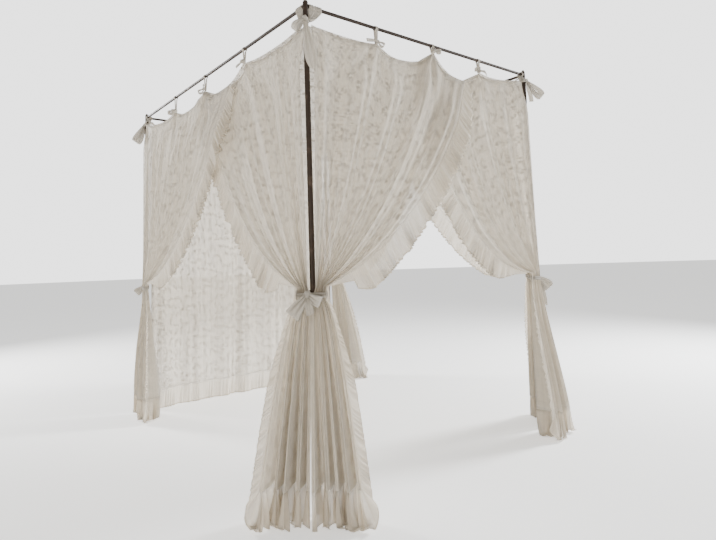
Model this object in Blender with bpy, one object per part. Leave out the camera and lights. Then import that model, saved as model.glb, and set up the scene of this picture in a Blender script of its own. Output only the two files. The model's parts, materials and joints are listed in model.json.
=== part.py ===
"""A ruffled bed net on a four-post frame, tied to its rails and drawn back to its posts.

Metres, +Z up. The origin is on the floor, under the middle of all that the net reaches. The foot
side faces -Y, and the closed head side faces +Y.
"""

import math
from collections import namedtuple

import bmesh
import bpy
from mathutils import Vector

# Frame
FRAME_WIDTH = 1.5
FRAME_LENGTH = 2.0
# The net's tails spread further at the foot and on the left, so the frame stands off the origin
FRAME_X = 0.043
FRAME_Y = 0.084
POST_TOP = 1.988
POST_RADIUS = 0.011
RAIL_HEIGHT = 1.97
RAIL_RADIUS = 0.0075
CAP_RADIUS = 0.0085
CAP_HEIGHT = 0.010
TUBE_SIDES = 12

# Cloth
GAP = 0.0003
CLOTH = 0.002
EDGE_DROP = 0.0025
SAG_FLAT = 2.6
LAYER_TOP = 0.006
LAYER = 0.026
POST_SIDE_OUT = 0.014
HEM_HEIGHT = 0.13
FLOOR_GAP = 0.0015

# Drawn-back panels
FIRST_REACH = 0.020
FOLDS = 4
COLUMNS_PER_FOLD = 4
SELVEDGE = 1 / 18
FOLD_SHIFT = 0.018
FOLD_UNEVEN = 0.22
TOP_FOLD = 0.003
FACE_FOLD = 0.009
FALL_ROWS = (0.0, 0.12, 0.28, 0.45, 0.62, 0.78, 0.91, 1.0)
TIE_HEIGHT = 0.81
NECK_HEIGHT = 0.054
NECK_NEAR = 0.016
NECK_OUT = 0.014
NECK_DEPTH = 0.015
NECK_FORWARD = 0.85
TAIL_ROWS = (0.10, 0.25, 0.45, 0.65)
TAIL_FLARE = 0.65
HEM_FLARE = 0.16
SEAM_GAP = 0.0009

# Ruffles
RUFFLE_TOP = 0.07
RUFFLE_WIDTH = 0.115
RUFFLE_NECK = 0.012
RUFFLE_TAIL = 0.045
RUFFLE_WAVE = 0.011
HEM_WAVE = 0.002
SASH_ROOM = 0.15
ROOF_ROOM = 0.006

# Closed head panel and roof
HEAD_START = 0.035
HEAD_FOLDS = 7
HEAD_DEPTH = 0.018
HEAD_ROWS = (0.0, 0.2, 0.45, 0.7, 1.0)
ROOF_OUT = 0.009
ROOF_IN = 0.018
ROOF_CORNER = 0.0177
ROOF_CORNER_IN = 0.060
ROOF_SAG = 0.050
SPAN_STEPS = 3
SEAT = 0.0005

# Ribbons
TIE_WIDTH = 0.015
TIE_STEPS = 8
TIE_LOOSE = 0.0022
SASH_HEIGHT = 0.032
SASH_SIDES = 20
SASH_CLEAR = 0.0007
HELD_STEPS = 12
COLLAR_WIDTH = 0.018

# A place along a rail where the net is tied, the height of its edge there, and how far the
# edge sags between this place and the next
Hang = namedtuple("Hang", "along height sag")
Side = namedtuple("Side", "start along out length hangs")

WEST, EAST = FRAME_X - FRAME_WIDTH / 2, FRAME_X + FRAME_WIDTH / 2
FOOT, HEAD = FRAME_Y - FRAME_LENGTH / 2, FRAME_Y + FRAME_LENGTH / 2

SIDES = {
    "foot": Side((WEST, FOOT), (1, 0), (0, -1), FRAME_WIDTH, (
        Hang(0.0, 1.897, 0.014),
        Hang(0.376, 1.892, 0.062),
        Hang(0.739, 1.934, 0.084),
        Hang(1.091, 1.898, 0.026),
        Hang(FRAME_WIDTH, 1.948, 0.0),
    )),
    "left": Side((WEST, FOOT), (0, 1), (-1, 0), FRAME_LENGTH, (
        Hang(0.0, 1.897, 0.026),
        Hang(0.537, 1.897, 0.063),
        Hang(0.999, 1.886, 0.052),
        Hang(1.447, 1.876, 0.042),
        Hang(FRAME_LENGTH, 1.938, 0.0),
    )),
    "right": Side((EAST, FOOT), (0, 1), (1, 0), FRAME_LENGTH, (
        Hang(0.0, 1.948, 0.048),
        Hang(0.516, 1.890, 0.058),
        Hang(1.012, 1.896, 0.054),
        Hang(1.478, 1.884, 0.046),
        Hang(FRAME_LENGTH, 1.946, 0.0),
    )),
    "head": Side((WEST, HEAD), (1, 0), (0, 1), FRAME_WIDTH, (
        Hang(0.0, 1.938, 0.044),
        Hang(0.380, 1.894, 0.056),
        Hang(0.752, 1.902, 0.052),
        Hang(1.118, 1.890, 0.048),
        Hang(FRAME_WIDTH, 1.946, 0.0),
    )),
}

# bow_1 and bow_2 shape the free edge: two control points, as shares of the panel's reach and fall.
# neck and floor say how near the post and how far from it the tail lies, below the tieback and at
# the floor. out and depth are how far its folds stand out at the floor, and how deep they are.
Panel = namedtuple("Panel", "side far_end reach layer turn wobble bow_1 bow_2 neck floor out depth")

PANELS = {
    "foot_net_left": Panel(
        "foot", False, 0.965, 1, math.radians(45), 0.10, (0.82, 0.565), (0.447, 0.155),
        (0.0014, 0.058), (0.006, 0.195), 0.080, 0.058),
    "foot_net_right": Panel(
        "foot", True, 0.800, -1, math.radians(12), 0.55, (0.95, 0.38), (0.50, 0.02),
        (0.016, 0.105), (0.013, 0.200), 0.085, 0.056),
    "left_net_foot": Panel(
        "left", False, 1.000, -1, math.radians(45), 0.80, (0.88, 0.45), (0.42, 0.115),
        (0.0014, 0.058), (0.006, 0.200), 0.082, 0.060),
    "left_net_head": Panel(
        "left", True, 1.320, 1, math.radians(10), 0.60, (0.82, 0.60), (0.47, 0.08),
        (0.016, 0.120), (0.026, 0.320), 0.000, 0.048),
    "right_net_foot": Panel(
        "right", False, 1.020, 1, math.radians(12), 0.65, (0.84, 0.50), (0.50, 0.08),
        (0.016, 0.095), (0.013, 0.190), 0.085, 0.054),
    "right_net_head": Panel(
        "right", True, 1.080, -1, math.radians(10), 0.20, (0.86, 0.48), (0.50, 0.06),
        (0.016, 0.120), (0.026, 0.310), 0.020, 0.050),
}

# A bow's loop or loose end: it leaves its knot along the rail (u), outward (n) and upward (z)
Ear = namedtuple("Ear", "u n z width droop")
Tie = namedtuple("Tie", "side place ears")

RAIL_TIES = (
    Tie("foot", 1, (Ear(-0.072, 0.006, -0.004, 0.013, 0.006), Ear(0.026, 0.008, -0.016, 0.012, 0.004))),
    Tie("foot", 2, (Ear(-0.022, 0.010, -0.020, 0.012, 0.004), Ear(0.034, 0.008, -0.004, 0.015, 0.006))),
    Tie("foot", 3, (Ear(-0.044, 0.008, 0.004, 0.014, 0.008), Ear(0.046, 0.010, -0.010, 0.013, 0.006))),
    Tie("left", 1, (Ear(-0.024, 0.008, -0.012, 0.012, 0.004), Ear(0.036, 0.012, -0.022, 0.013, 0.006))),
    Tie("left", 2, (Ear(-0.038, 0.010, 0.014, 0.013, 0.006), Ear(0.030, 0.010, -0.014, 0.012, 0.006))),
    Tie("left", 3, (Ear(-0.046, 0.010, -0.014, 0.014, 0.008), Ear(0.044, 0.010, -0.008, 0.014, 0.008))),
    Tie("right", 1, (Ear(-0.040, 0.008, -0.006, 0.013, 0.006), Ear(0.030, 0.010, -0.018, 0.012, 0.006))),
    Tie("right", 2, (Ear(-0.028, 0.010, -0.016, 0.013, 0.006), Ear(0.042, 0.008, 0.004, 0.013, 0.008))),
    Tie("right", 3, (Ear(-0.044, 0.010, -0.002, 0.013, 0.008), Ear(0.032, 0.010, -0.020, 0.012, 0.004))),
    Tie("head", 1, (Ear(-0.036, 0.010, -0.008, 0.013, 0.006), Ear(0.040, 0.010, -0.014, 0.013, 0.006))),
    Tie("head", 2, (Ear(-0.042, 0.008, 0.002, 0.013, 0.008), Ear(0.030, 0.010, -0.018, 0.012, 0.004))),
    Tie("head", 3, (Ear(-0.030, 0.010, -0.016, 0.012, 0.004), Ear(0.044, 0.008, -0.004, 0.014, 0.008))),
)

# Each corner's two sides, the height of the tie at its top, the way its bows face in degrees from
# the diagonal that points out of the frame, the tie's ears, and the ears of its tieback's bow.
Corner = namedtuple("Corner", "at first second height top_turn top_ears sash_turn sash_ears")

CORNERS = {
    "foot_left": Corner(
        (WEST, FOOT), "foot", "left", 1.909, 0,
        (Ear(-0.026, 0.012, -0.215, 0.044, 0.004), Ear(0.044, 0.014, -0.044, 0.026, 0.006)),
        0, (Ear(0.056, 0.014, -0.050, 0.040, 0.008), Ear(-0.040, 0.014, -0.016, 0.030, 0.008),
            Ear(-0.010, 0.014, -0.070, 0.024, 0.004))),
    "foot_right": Corner(
        (EAST, FOOT), "foot", "right", 1.936, 25,
        (Ear(0.045, 0.058, -0.100, 0.036, 0.010), Ear(-0.004, 0.022, -0.120, 0.030, 0.004)),
        30, (Ear(0.040, 0.050, -0.062, 0.044, 0.010), Ear(0.006, 0.044, -0.160, 0.030, 0.004))),
    "head_left": Corner(
        (WEST, HEAD), "left", "head", 1.920, -20,
        (Ear(-0.046, 0.024, -0.120, 0.048, 0.008), Ear(0.040, 0.022, -0.040, 0.030, 0.008)),
        -20, (Ear(-0.040, 0.022, -0.044, 0.032, 0.008), Ear(0.036, 0.022, -0.052, 0.028, 0.006))),
    "head_right": Corner(
        (EAST, HEAD), "right", "head", 1.932, 0,
        (Ear(-0.046, 0.024, -0.058, 0.036, 0.008), Ear(0.044, 0.024, -0.050, 0.036, 0.008)),
        0, (Ear(-0.040, 0.022, -0.046, 0.032, 0.008), Ear(0.040, 0.022, -0.040, 0.032, 0.008))),
}

Finish = namedtuple("Finish", "colour roughness metallic")
FINISHES = {
    "dark_metal": Finish((0.045, 0.034, 0.028, 1), 0.42, 0.85),
    "grey_cap": Finish((0.30, 0.29, 0.27, 1), 0.45, 0.60),
    "net_voile": Finish((0.84, 0.81, 0.74, 1), 0.85, 0.0),
    "ruffle_voile": Finish((0.87, 0.84, 0.77, 1), 0.85, 0.0),
    "ribbon": Finish((0.86, 0.83, 0.77, 1), 0.70, 0.0),
}


def clear_scene():
    for item in list(bpy.data.objects):
        bpy.data.objects.remove(item, do_unlink=True)


def material(name):
    found = bpy.data.materials.get(name)
    if found is not None:
        return found
    finish = FINISHES[name]
    made = bpy.data.materials.new(name)
    made.use_nodes = True
    shader = made.node_tree.nodes["Principled BSDF"]
    shader.inputs["Base Color"].default_value = finish.colour
    shader.inputs["Roughness"].default_value = finish.roughness
    shader.inputs["Metallic"].default_value = finish.metallic
    made.diffuse_color = finish.colour
    return made


def add_object(name, shape, finish):
    """Link a bmesh as an object, with its faces pointing out."""
    bmesh.ops.recalc_face_normals(shape, faces=shape.faces[:])
    mesh = bpy.data.meshes.new(name)
    shape.to_mesh(mesh)
    shape.free()
    mesh.shade_smooth()
    mesh.set_sharp_from_angle(angle=math.radians(50))
    mesh.materials.append(material(finish))
    made = bpy.data.objects.new(name, mesh)
    bpy.context.scene.collection.objects.link(made)
    return made


def mix(first, second, share):
    return first + (second - first) * share


def ease(share):
    share = min(max(share, 0.0), 1.0)
    return share * share * (3 - 2 * share)


# ---------------------------------------------------------------- frame


def add_turned(name, profile, finish, origin, axis):
    """A round piece: rings of TUBE_SIDES points at (distance along axis, radius)."""
    axis = Vector(axis).normalized()
    across = axis.orthogonal().normalized()
    other = axis.cross(across)
    shape = bmesh.new()
    rings = []
    for distance, radius in profile:
        ring = []
        for step in range(TUBE_SIDES):
            angle = math.tau * (step + 0.5) / TUBE_SIDES
            spoke = across * math.cos(angle) + other * math.sin(angle)
            ring.append(shape.verts.new(Vector(origin) + axis * distance + spoke * radius))
        rings.append(ring)
    for lower, upper in zip(rings, rings[1:]):
        for step in range(TUBE_SIDES):
            following = (step + 1) % TUBE_SIDES
            shape.faces.new((lower[step], lower[following], upper[following], upper[step]))
    shape.faces.new(rings[0])
    shape.faces.new(rings[-1])
    return add_object(name, shape, finish)


def add_frame():
    for name, corner in CORNERS.items():
        x, y = corner.at
        add_turned("post_" + name, ((0, POST_RADIUS), (POST_TOP, POST_RADIUS)),
                   "dark_metal", (x, y, 0), (0, 0, 1))
        cap = (
            (0.0, CAP_RADIUS),
            (CAP_HEIGHT * 0.55, CAP_RADIUS),
            (CAP_HEIGHT, CAP_RADIUS * 0.55),
        )
        add_turned("cap_" + name, cap, "grey_cap", (x, y, POST_TOP + GAP), (0, 0, 1))
    for name, side in SIDES.items():
        inset = POST_RADIUS + GAP
        start = Vector((*side.start, RAIL_HEIGHT)) + Vector((*side.along, 0)) * inset
        length = side.length - 2 * inset
        add_turned("rail_" + name, ((0, RAIL_RADIUS), (length, RAIL_RADIUS)),
                   "dark_metal", start, (*side.along, 0))


# ---------------------------------------------------------------- sheets


def grid_normals(grid):
    """A unit normal at each point of a grid of rows: the mean of those on its two sides."""
    normals = []
    for i, row in enumerate(grid):
        above, below = grid[max(i - 1, 0)], grid[min(i + 1, len(grid) - 1)]
        steps = [there - here for here, there in zip(row, row[1:])]
        line = []
        for j in range(len(row)):
            down = below[j] - above[j]
            before, after = steps[max(j - 1, 0)], steps[min(j, len(steps) - 1)]
            normal = before.cross(down).normalized() + after.cross(down).normalized()
            line.append(normal.normalized())
        normals.append(line)
    return normals


def add_sheet(name, grid, finish):
    """A closed sheet, CLOTH thick, with a grid of points as its middle surface."""
    normals = grid_normals(grid)
    shape = bmesh.new()
    faces = []
    for offset in (CLOTH / 2, -CLOTH / 2):
        face = []
        for row, line in zip(grid, normals):
            points = []
            for point, normal in zip(row, line):
                moved = point + normal * offset
                moved.z = max(moved.z, FLOOR_GAP / 2)
                points.append(shape.verts.new(moved))
            face.append(points)
        faces.append(face)
    front, back = faces
    rows, columns = len(grid), len(grid[0])
    for i in range(rows - 1):
        for j in range(columns - 1):
            for face in faces:
                a, b = face[i][j], face[i][j + 1]
                c, d = face[i + 1][j + 1], face[i + 1][j]
                shape.faces.new((a, b, c))
                shape.faces.new((a, c, d))
    rim = [(0, j) for j in range(columns)]
    rim += [(i, columns - 1) for i in range(1, rows)]
    rim += [(rows - 1, j) for j in range(columns - 2, -1, -1)]
    rim += [(i, 0) for i in range(rows - 2, 0, -1)]
    for (i, j), (k, m) in zip(rim, rim[1:] + rim[:1]):
        shape.faces.new((front[i][j], front[k][m], back[k][m], back[i][j]))
    return add_object(name, shape, finish)


# ---------------------------------------------------------------- the net's upper edge


def span_at(side, along):
    """The hangs on either side of a place, its share of the way between, and how far it sags."""
    for here, there in zip(side.hangs, side.hangs[1:]):
        if along <= there.along:
            break
    share = min(max((along - here.along) / (there.along - here.along), 0.0), 1.0)
    return here, there, share, 1 - abs(2 * share - 1) ** SAG_FLAT


def edge_height(side, along):
    here, there, share, bow = span_at(side, along)
    return mix(here.height, there.height, share) - here.sag * bow


def panel_top(side, along):
    """The side panels' upper edge: at the roof's edge where it is tied, and a little lower between."""
    return edge_height(side, along) - EDGE_DROP * span_at(side, along)[3]


# ---------------------------------------------------------------- drawn-back panels


def panel_axes(panel):
    """The post's foot, the way along the face from it, and the way out of the frame."""
    side = SIDES[panel.side]
    start, along = Vector((*side.start, 0)), Vector((*side.along, 0))
    if panel.far_end:
        start, along = start + along * side.length, -along
    return start, along, Vector((*side.out, 0))


def rail_place(panel, reach):
    side = SIDES[panel.side]
    return side.length - reach if panel.far_end else reach


def fold_wave(panel, share):
    """Uneven folds across the panel, with a flat crest along each of its upright edges."""
    inner = min(max((share - SELVEDGE) / (1 - 2 * SELVEDGE), 0.0), 1.0)
    phase = math.tau * panel.wobble
    shift = math.sin(2 * math.tau * inner + phase) - math.sin(phase)
    size = 1 + FOLD_UNEVEN * math.sin(1.5 * math.tau * inner + 2 * phase)
    return size * math.cos(math.tau * FOLDS * (inner + FOLD_SHIFT * shift))


def gathered(panel, share, near, far, out, depth):
    """A place in the gathered panel's section, as (along the face, out of the frame)."""
    q = mix(near, far, share)
    o = out + depth * fold_wave(panel, share)
    cos, sin = math.cos(panel.turn), math.sin(panel.turn)
    return q * cos - o * sin, q * sin + o * cos


def neck_place(panel, share):
    """A place in the section at the tieback's top, where the cloth lies beside the post."""
    return gathered(panel, share, NECK_NEAR, panel.neck[1], NECK_OUT, NECK_DEPTH)


def falling(panel, share, fall):
    """A point between the rail (fall 0) and the tieback (fall 1), as (along, out, height)."""
    side = SIDES[panel.side]
    reach = mix(FIRST_REACH, panel.reach, share)
    top = panel_top(side, rail_place(panel, reach))
    bottom = TIE_HEIGHT + NECK_HEIGHT / 2
    neck_u, neck_n = neck_place(panel, share)
    u1 = mix(0.70, panel.bow_1[0], share)
    u2 = mix(0.38, panel.bow_2[0], share)
    z1 = mix(0.667, panel.bow_1[1], share)
    z2 = mix(0.333, panel.bow_2[1], share)
    rest = 1 - fall
    weights = (rest ** 3, 3 * rest * rest * fall, 3 * rest * fall * fall)
    pull = weights[0] + weights[1] * u1 + weights[2] * u2
    lift = weights[0] + weights[1] * z1 + weights[2] * z2
    u = neck_u + (reach - neck_u) * pull
    z = bottom + (top - bottom) * lift
    spread = ease(fall / 0.2)
    face_out = mix(POST_SIDE_OUT, panel.layer * LAYER, ease(share / 0.4))
    face = mix(panel.layer * LAYER_TOP, face_out, spread)
    face += mix(TOP_FOLD, FACE_FOLD, spread) * fold_wave(panel, share)
    gather = ease(fall) * mix(1.0, fall, share)
    return u, mix(face, neck_n, gather), z


def tail_place(panel, share, drop):
    """A place in the tail's section, drop 0 under the tieback and 1 at the floor."""
    near = mix(panel.neck[0], panel.floor[0], drop)
    far = mix(panel.neck[1], panel.floor[1], drop ** TAIL_FLARE)
    before_post = NECK_OUT + NECK_FORWARD * (NECK_NEAR - panel.neck[0])
    out = mix(before_post, panel.out, drop)
    return gathered(panel, share, near, far, out, mix(NECK_DEPTH, panel.depth, drop))


def panel_shares(panel):
    """Shares across the panel. The nearest column is moved to each tie along the rail."""
    columns = FOLDS * COLUMNS_PER_FOLD + 2
    shares = [step / columns for step in range(columns + 1)]
    for hang in SIDES[panel.side].hangs[1:-1]:
        reach = rail_place(panel, hang.along)
        share = (reach - FIRST_REACH) / (panel.reach - FIRST_REACH)
        if 0.5 / columns < share < 1 - 0.5 / columns:
            shares[round(share * columns)] = share
    return shares


def panel_grid(panel):
    start, along, out = panel_axes(panel)
    neck_bottom = TIE_HEIGHT - NECK_HEIGHT / 2
    hem_drop = 1 - HEM_HEIGHT / neck_bottom

    def world(u, n, z):
        return start + along * u + out * n + Vector((0, 0, z))

    shares = panel_shares(panel)
    grid = [[world(*falling(panel, s, fall)) for s in shares] for fall in FALL_ROWS]
    for drop in (0.0,) + TAIL_ROWS + (hem_drop,):
        z = neck_bottom * (1 - drop)
        grid.append([world(*tail_place(panel, s, drop), z) for s in shares])
    return grid


def add_panels():
    for name, panel in PANELS.items():
        add_sheet(name, panel_grid(panel), "net_voile")


# ---------------------------------------------------------------- ruffles


def between(points):
    """The points with the middle of each stretch added."""
    made = [points[0]]
    for here, there in zip(points, points[1:]):
        made += [(here + there) / 2, there]
    return made


def edge_ruffle_width(z, top):
    """The ruffle hangs full width between the rail and the tieback, where it is squeezed."""
    neck_top = TIE_HEIGHT + NECK_HEIGHT / 2
    neck_bottom = TIE_HEIGHT - NECK_HEIGHT / 2
    if z >= neck_top:
        from_top = ease((top - z) / 0.15)
        to_neck = ease((z - neck_top) / 0.09)
        return mix(RUFFLE_NECK, mix(RUFFLE_TOP, RUFFLE_WIDTH, from_top), to_neck)
    return mix(RUFFLE_NECK, RUFFLE_TAIL, ease((neck_bottom - z) / 0.30))


def ruffle_grid(panel, grid):
    """Two rows of points: along the seam, and along the ruffle's loose edge."""
    start, along, out = panel_axes(panel)
    side = SIDES[panel.side]
    cos, sin = math.cos(panel.turn), math.sin(panel.turn)
    q_axis, o_axis = along * cos + out * sin, out * cos - along * sin
    edge = between([row[-1] for row in grid])
    hem = between(list(reversed(grid[-1])))
    top = edge[0].z
    neck_top = TIE_HEIGHT + NECK_HEIGHT / 2
    inner, outer = [], []
    for i, point in enumerate(edge[:-1]):
        ahead = edge[i + 1] - edge[max(i - 1, 0)]
        gathering = 1 - ease((point.z - neck_top) / 0.25)
        sideways = along * (1 - gathering) + q_axis * gathering
        run = Vector((ahead.dot(along), ahead.z))
        away = sideways * -run.y + Vector((0, 0, run.x))
        away = (away.normalized() + Vector((0, 0, -0.35 * (1 - gathering)))).normalized()
        wide = edge_ruffle_width(point.z, top)
        wave = out * (1 - gathering) + o_axis * gathering
        size = RUFFLE_WAVE * min(wide / RUFFLE_WIDTH + 0.1, 1) * (-1) ** i
        size *= mix(0.2, 1.0, ease((top - point.z) / 0.25))
        size *= mix(0.1, 1.0, ease(abs(point.z - neck_top) / 0.12))
        loose = point + away * wide + wave * size
        reach = (loose - start).dot(along)
        loose.z = min(loose.z, panel_top(side, rail_place(panel, reach)) - ROOF_ROOM)
        if (point - start).xy.length < SASH_ROOM and point.z > neck_top:
            loose.z = max(loose.z, mix(neck_top, point.z, 0.35))
        inner.append(point + away * SEAM_GAP)
        outer.append(loose)
    corner = edge[-1]
    inner.append(corner + (q_axis - Vector((0, 0, 1))) * SEAM_GAP)
    outer.append(corner + q_axis * RUFFLE_TAIL - Vector((0, 0, 0.06)))
    below = [point - Vector((0, 0, HEM_HEIGHT)) for point in hem]
    for i, normal in enumerate(grid_normals([hem, below])[0][1:]):
        point = hem[i + 1]
        spoke = Vector((point.x - start.x, point.y - start.y, 0))
        foot = Vector((point.x, point.y, FLOOR_GAP)) + spoke * HEM_FLARE
        inner.append(point - Vector((0, 0, SEAM_GAP)))
        outer.append(foot + normal * HEM_WAVE * (-1) ** i)
    return [inner, outer]


def add_ruffles():
    for name, panel in PANELS.items():
        grid = ruffle_grid(panel, panel_grid(panel))
        add_sheet("ruffle_" + name, grid, "ruffle_voile")


# ---------------------------------------------------------------- closed head panel


def head_point(share, row):
    """A point of the head panel, row 0 at its top and 1 at its hem."""
    side = SIDES["head"]
    reach = mix(HEAD_START, side.length - HEAD_START, share)
    depth = mix(TOP_FOLD, HEAD_DEPTH, ease(row))
    wave = math.cos(math.tau * HEAD_FOLDS * share) * (1 + 0.3 * math.sin(math.tau * 2.5 * share))
    z = mix(panel_top(side, reach), HEM_HEIGHT, row)
    at = Vector((*side.start, z)) + Vector((*side.along, 0)) * reach
    return at + Vector((*side.out, 0)) * depth * wave


def head_grid():
    side = SIDES["head"]
    columns = HEAD_FOLDS * COLUMNS_PER_FOLD
    shares = [step / columns for step in range(columns + 1)]
    for hang in side.hangs[1:-1]:
        share = (hang.along - HEAD_START) / (side.length - 2 * HEAD_START)
        shares[round(share * columns)] = share
    return [[head_point(s, row) for s in shares] for row in HEAD_ROWS]


def add_head_net():
    grid = head_grid()
    add_sheet("head_net", grid, "net_voile")
    hem = grid[-1]
    out = Vector((*SIDES["head"].out, 0))
    inner = [point - Vector((0, 0, SEAM_GAP)) for point in hem]
    outer = []
    for i, point in enumerate(hem):
        foot = Vector((point.x, point.y, FLOOR_GAP))
        outer.append(foot + out * (0.012 + HEM_WAVE * (-1) ** i))
    add_sheet("ruffle_head_net", [inner, outer], "ruffle_voile")


# ---------------------------------------------------------------- roof


def roof_stations(side):
    """Places along a side: at its corners and ties, and between them."""
    places = []
    for here, there in zip(side.hangs, side.hangs[1:]):
        places += [mix(here.along, there.along, step / SPAN_STEPS) for step in range(SPAN_STEPS)]
    return places + [side.length]


def roof_line(name, out_by, corner_in):
    """A line along a side of the roof. At its ends it passes inside the posts."""
    side = SIDES[name]
    start, along, out = Vector((*side.start, 0)), Vector((*side.along, 0)), Vector((*side.out, 0))
    points = []
    places = roof_stations(side)
    for place in places:
        n = out_by
        if place in (places[0], places[-1]):
            n = -corner_in
            place = min(max(place, corner_in), side.length - corner_in)
        z = edge_height(side, place) + CLOTH / 2 + SEAT
        points.append(start + along * place + out * n + Vector((0, 0, z)))
    return points


def roof_middle(lines, s, t, i, j):
    """A point inside the roof. Each side sets the height the more, the nearer it lies."""
    foot, head, left, right = lines
    x = mix(mix(left[0].x, right[0].x, s), mix(left[-1].x, right[-1].x, s), t)
    y = mix(left[i].y, right[i].y, s)
    x = mix(x, mix(foot[j].x, head[j].x, t), 0.5)
    shares = ((t, foot[j].z), (1 - t, head[j].z), (s, left[i].z), (1 - s, right[i].z))
    weight = sum(1 / near ** 2 for near, _ in shares)
    z = sum(height / near ** 2 for near, height in shares) / weight
    return Vector((x, y, z - ROOF_SAG * math.sin(math.pi * s) * math.sin(math.pi * t)))


def add_roof():
    names = ("foot", "head", "left", "right")
    rim = [roof_line(name, ROOF_OUT, ROOF_CORNER) for name in names]
    lines = [roof_line(name, -ROOF_IN, ROOF_CORNER_IN) for name in names]
    foot, head, left, right = lines
    rows, columns = len(left) - 1, len(foot) - 1
    grid = []
    for i in range(1, rows):
        line = [left[i]]
        for j in range(1, columns):
            line.append(roof_middle(lines, j / columns, i / rows, i, j))
        grid.append([rim[2][i]] + line + [right[i], rim[3][i]])
    first = [rim[2][0].lerp(rim[2][1], 0.3)] + foot + [rim[3][0].lerp(rim[3][1], 0.3)]
    last = [rim[2][-1].lerp(rim[2][-2], 0.3)] + head + [rim[3][-1].lerp(rim[3][-2], 0.3)]
    top = [rim[0][0]] + [rim[0][0].lerp(rim[0][1], 0.3)] + rim[0][1:-1]
    top += [rim[0][-1].lerp(rim[0][-2], 0.3), rim[0][-1]]
    end = [rim[1][0]] + [rim[1][0].lerp(rim[1][1], 0.3)] + rim[1][1:-1]
    end += [rim[1][-1].lerp(rim[1][-2], 0.3), rim[1][-1]]
    add_sheet("roof_net", [top, first] + grid + [last, end], "net_voile")


# ---------------------------------------------------------------- ribbons


def ribbon_shape(points, sides, widths, closed=False, thick=CLOTH):
    """A bmesh of a ribbon along points. sides are the ways across it, and widths its widths."""
    shape = bmesh.new()
    count = len(points)
    sections = []
    for i, (point, side, width) in enumerate(zip(points, sides, widths)):
        if closed:
            ahead = points[(i + 1) % count] - points[i - 1]
        else:
            ahead = points[min(i + 1, count - 1)] - points[max(i - 1, 0)]
        normal = ahead.cross(side).normalized() * (thick / 2)
        half = side.normalized() * (width / 2)
        corners = (half + normal, normal - half, -half - normal, half - normal)
        sections.append([shape.verts.new(point + corner) for corner in corners])
    pairs = list(zip(sections, sections[1:]))
    if closed:
        pairs.append((sections[-1], sections[0]))
    else:
        shape.faces.new(sections[0])
        shape.faces.new(sections[-1])
    for here, there in pairs:
        for k in range(4):
            m = (k + 1) % 4
            shape.faces.new((here[k], here[m], there[m], there[k]))
    return shape


def knot_shape(centre, axes, sizes):
    """A low round lump: a squashed ball with its half sizes along three axes."""
    shape = bmesh.new()
    bmesh.ops.create_uvsphere(shape, u_segments=6, v_segments=4, radius=1.0)
    for vert in shape.verts:
        x, y, z = vert.co
        moved = axes[0] * (x * sizes[0]) + axes[1] * (y * sizes[1]) + axes[2] * (z * sizes[2])
        vert.co = centre + moved
    return shape


def ear_shape(knot, axes, ear):
    """A bow's ear: a leaf that widens from the knot, droops, and closes in a rounded end."""
    along, out, up = axes
    reach = along * ear.u + out * ear.n + up * ear.z
    across = reach.cross(out).normalized()
    points, widths = [], []
    for share, wide in ((0.0, 0.35), (0.45, 0.85), (0.8, 1.0), (1.0, 0.4)):
        lift = out * ear.droop * math.sin(math.pi * share)
        points.append(knot + reach * share + lift)
        widths.append(ear.width * wide)
    return ribbon_shape(points, [across] * len(points), widths, thick=CLOTH * 1.5)


def add_union(name, shapes, finish):
    """One solid from shapes that run into each other."""
    base = add_object(name, shapes[0], finish)
    for index, shape in enumerate(shapes[1:]):
        tool = add_object(f"{name}_tool_{index}", shape, finish)
        tool.hide_render = True
        tool.display_type = "WIRE"
        union = base.modifiers.new(f"join_{index}", "BOOLEAN")
        union.operation = "UNION"
        union.solver = "EXACT"
        union.object = tool
    return base


def rail_tie_shapes(tie):
    side = SIDES[tie.side]
    hang = side.hangs[tie.place]
    along, out, up = Vector((*side.along, 0)), Vector((*side.out, 0)), Vector((0, 0, 1))
    foot = Vector((*side.start, 0)) + along * hang.along
    step_angle = 280 / (TIE_STEPS - 1)
    radius = (RAIL_RADIUS + TIE_LOOSE + CLOTH / 2) / math.cos(math.radians(step_angle / 2))
    centre = RAIL_HEIGHT - TIE_LOOSE + SEAT
    bottom = edge_height(side, hang.along) + CLOTH + SEAT + GAP * 2
    leg = CLOTH / 2 + GAP
    path = [(leg, bottom)]
    if centre - radius - 0.010 > bottom:
        path.append((leg, centre - radius - 0.006))
    for step in range(TIE_STEPS):
        angle = math.radians(-50 + step_angle * step)
        path.append((radius * math.cos(angle), centre + radius * math.sin(angle)))
    path += [(-n, z) for n, z in reversed(path[:len(path) - TIE_STEPS])]
    points = [foot + out * n + up * z for n, z in path]
    count = len(points)
    strap = ribbon_shape(points, [along] * count, [TIE_WIDTH] * count)
    knot_at = foot + out * 0.010 + up * (bottom + 0.009)
    knot = knot_shape(knot_at, (along, out, up), (0.011, 0.0095, 0.008))
    ears = [ear_shape(knot_at + out * 0.004, (along, out, up), ear) for ear in tie.ears]
    return [strap, knot] + ears


def add_rail_ties():
    for tie in RAIL_TIES:
        add_union(f"tie_{tie.side}_{tie.place}", rail_tie_shapes(tie), "ribbon")


def corner_axes(corner, turn):
    """Axes at a corner: along the bow, the way that it faces, and up."""
    first, second = SIDES[corner.first], SIDES[corner.second]
    out = (Vector((*first.out, 0)) + Vector((*second.out, 0))).normalized()
    angle = math.radians(turn)
    out = Vector((
        out.x * math.cos(angle) - out.y * math.sin(angle),
        out.x * math.sin(angle) + out.y * math.cos(angle),
        0,
    ))
    up = Vector((0, 0, 1))
    return up.cross(out) * -1, out, up


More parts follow.
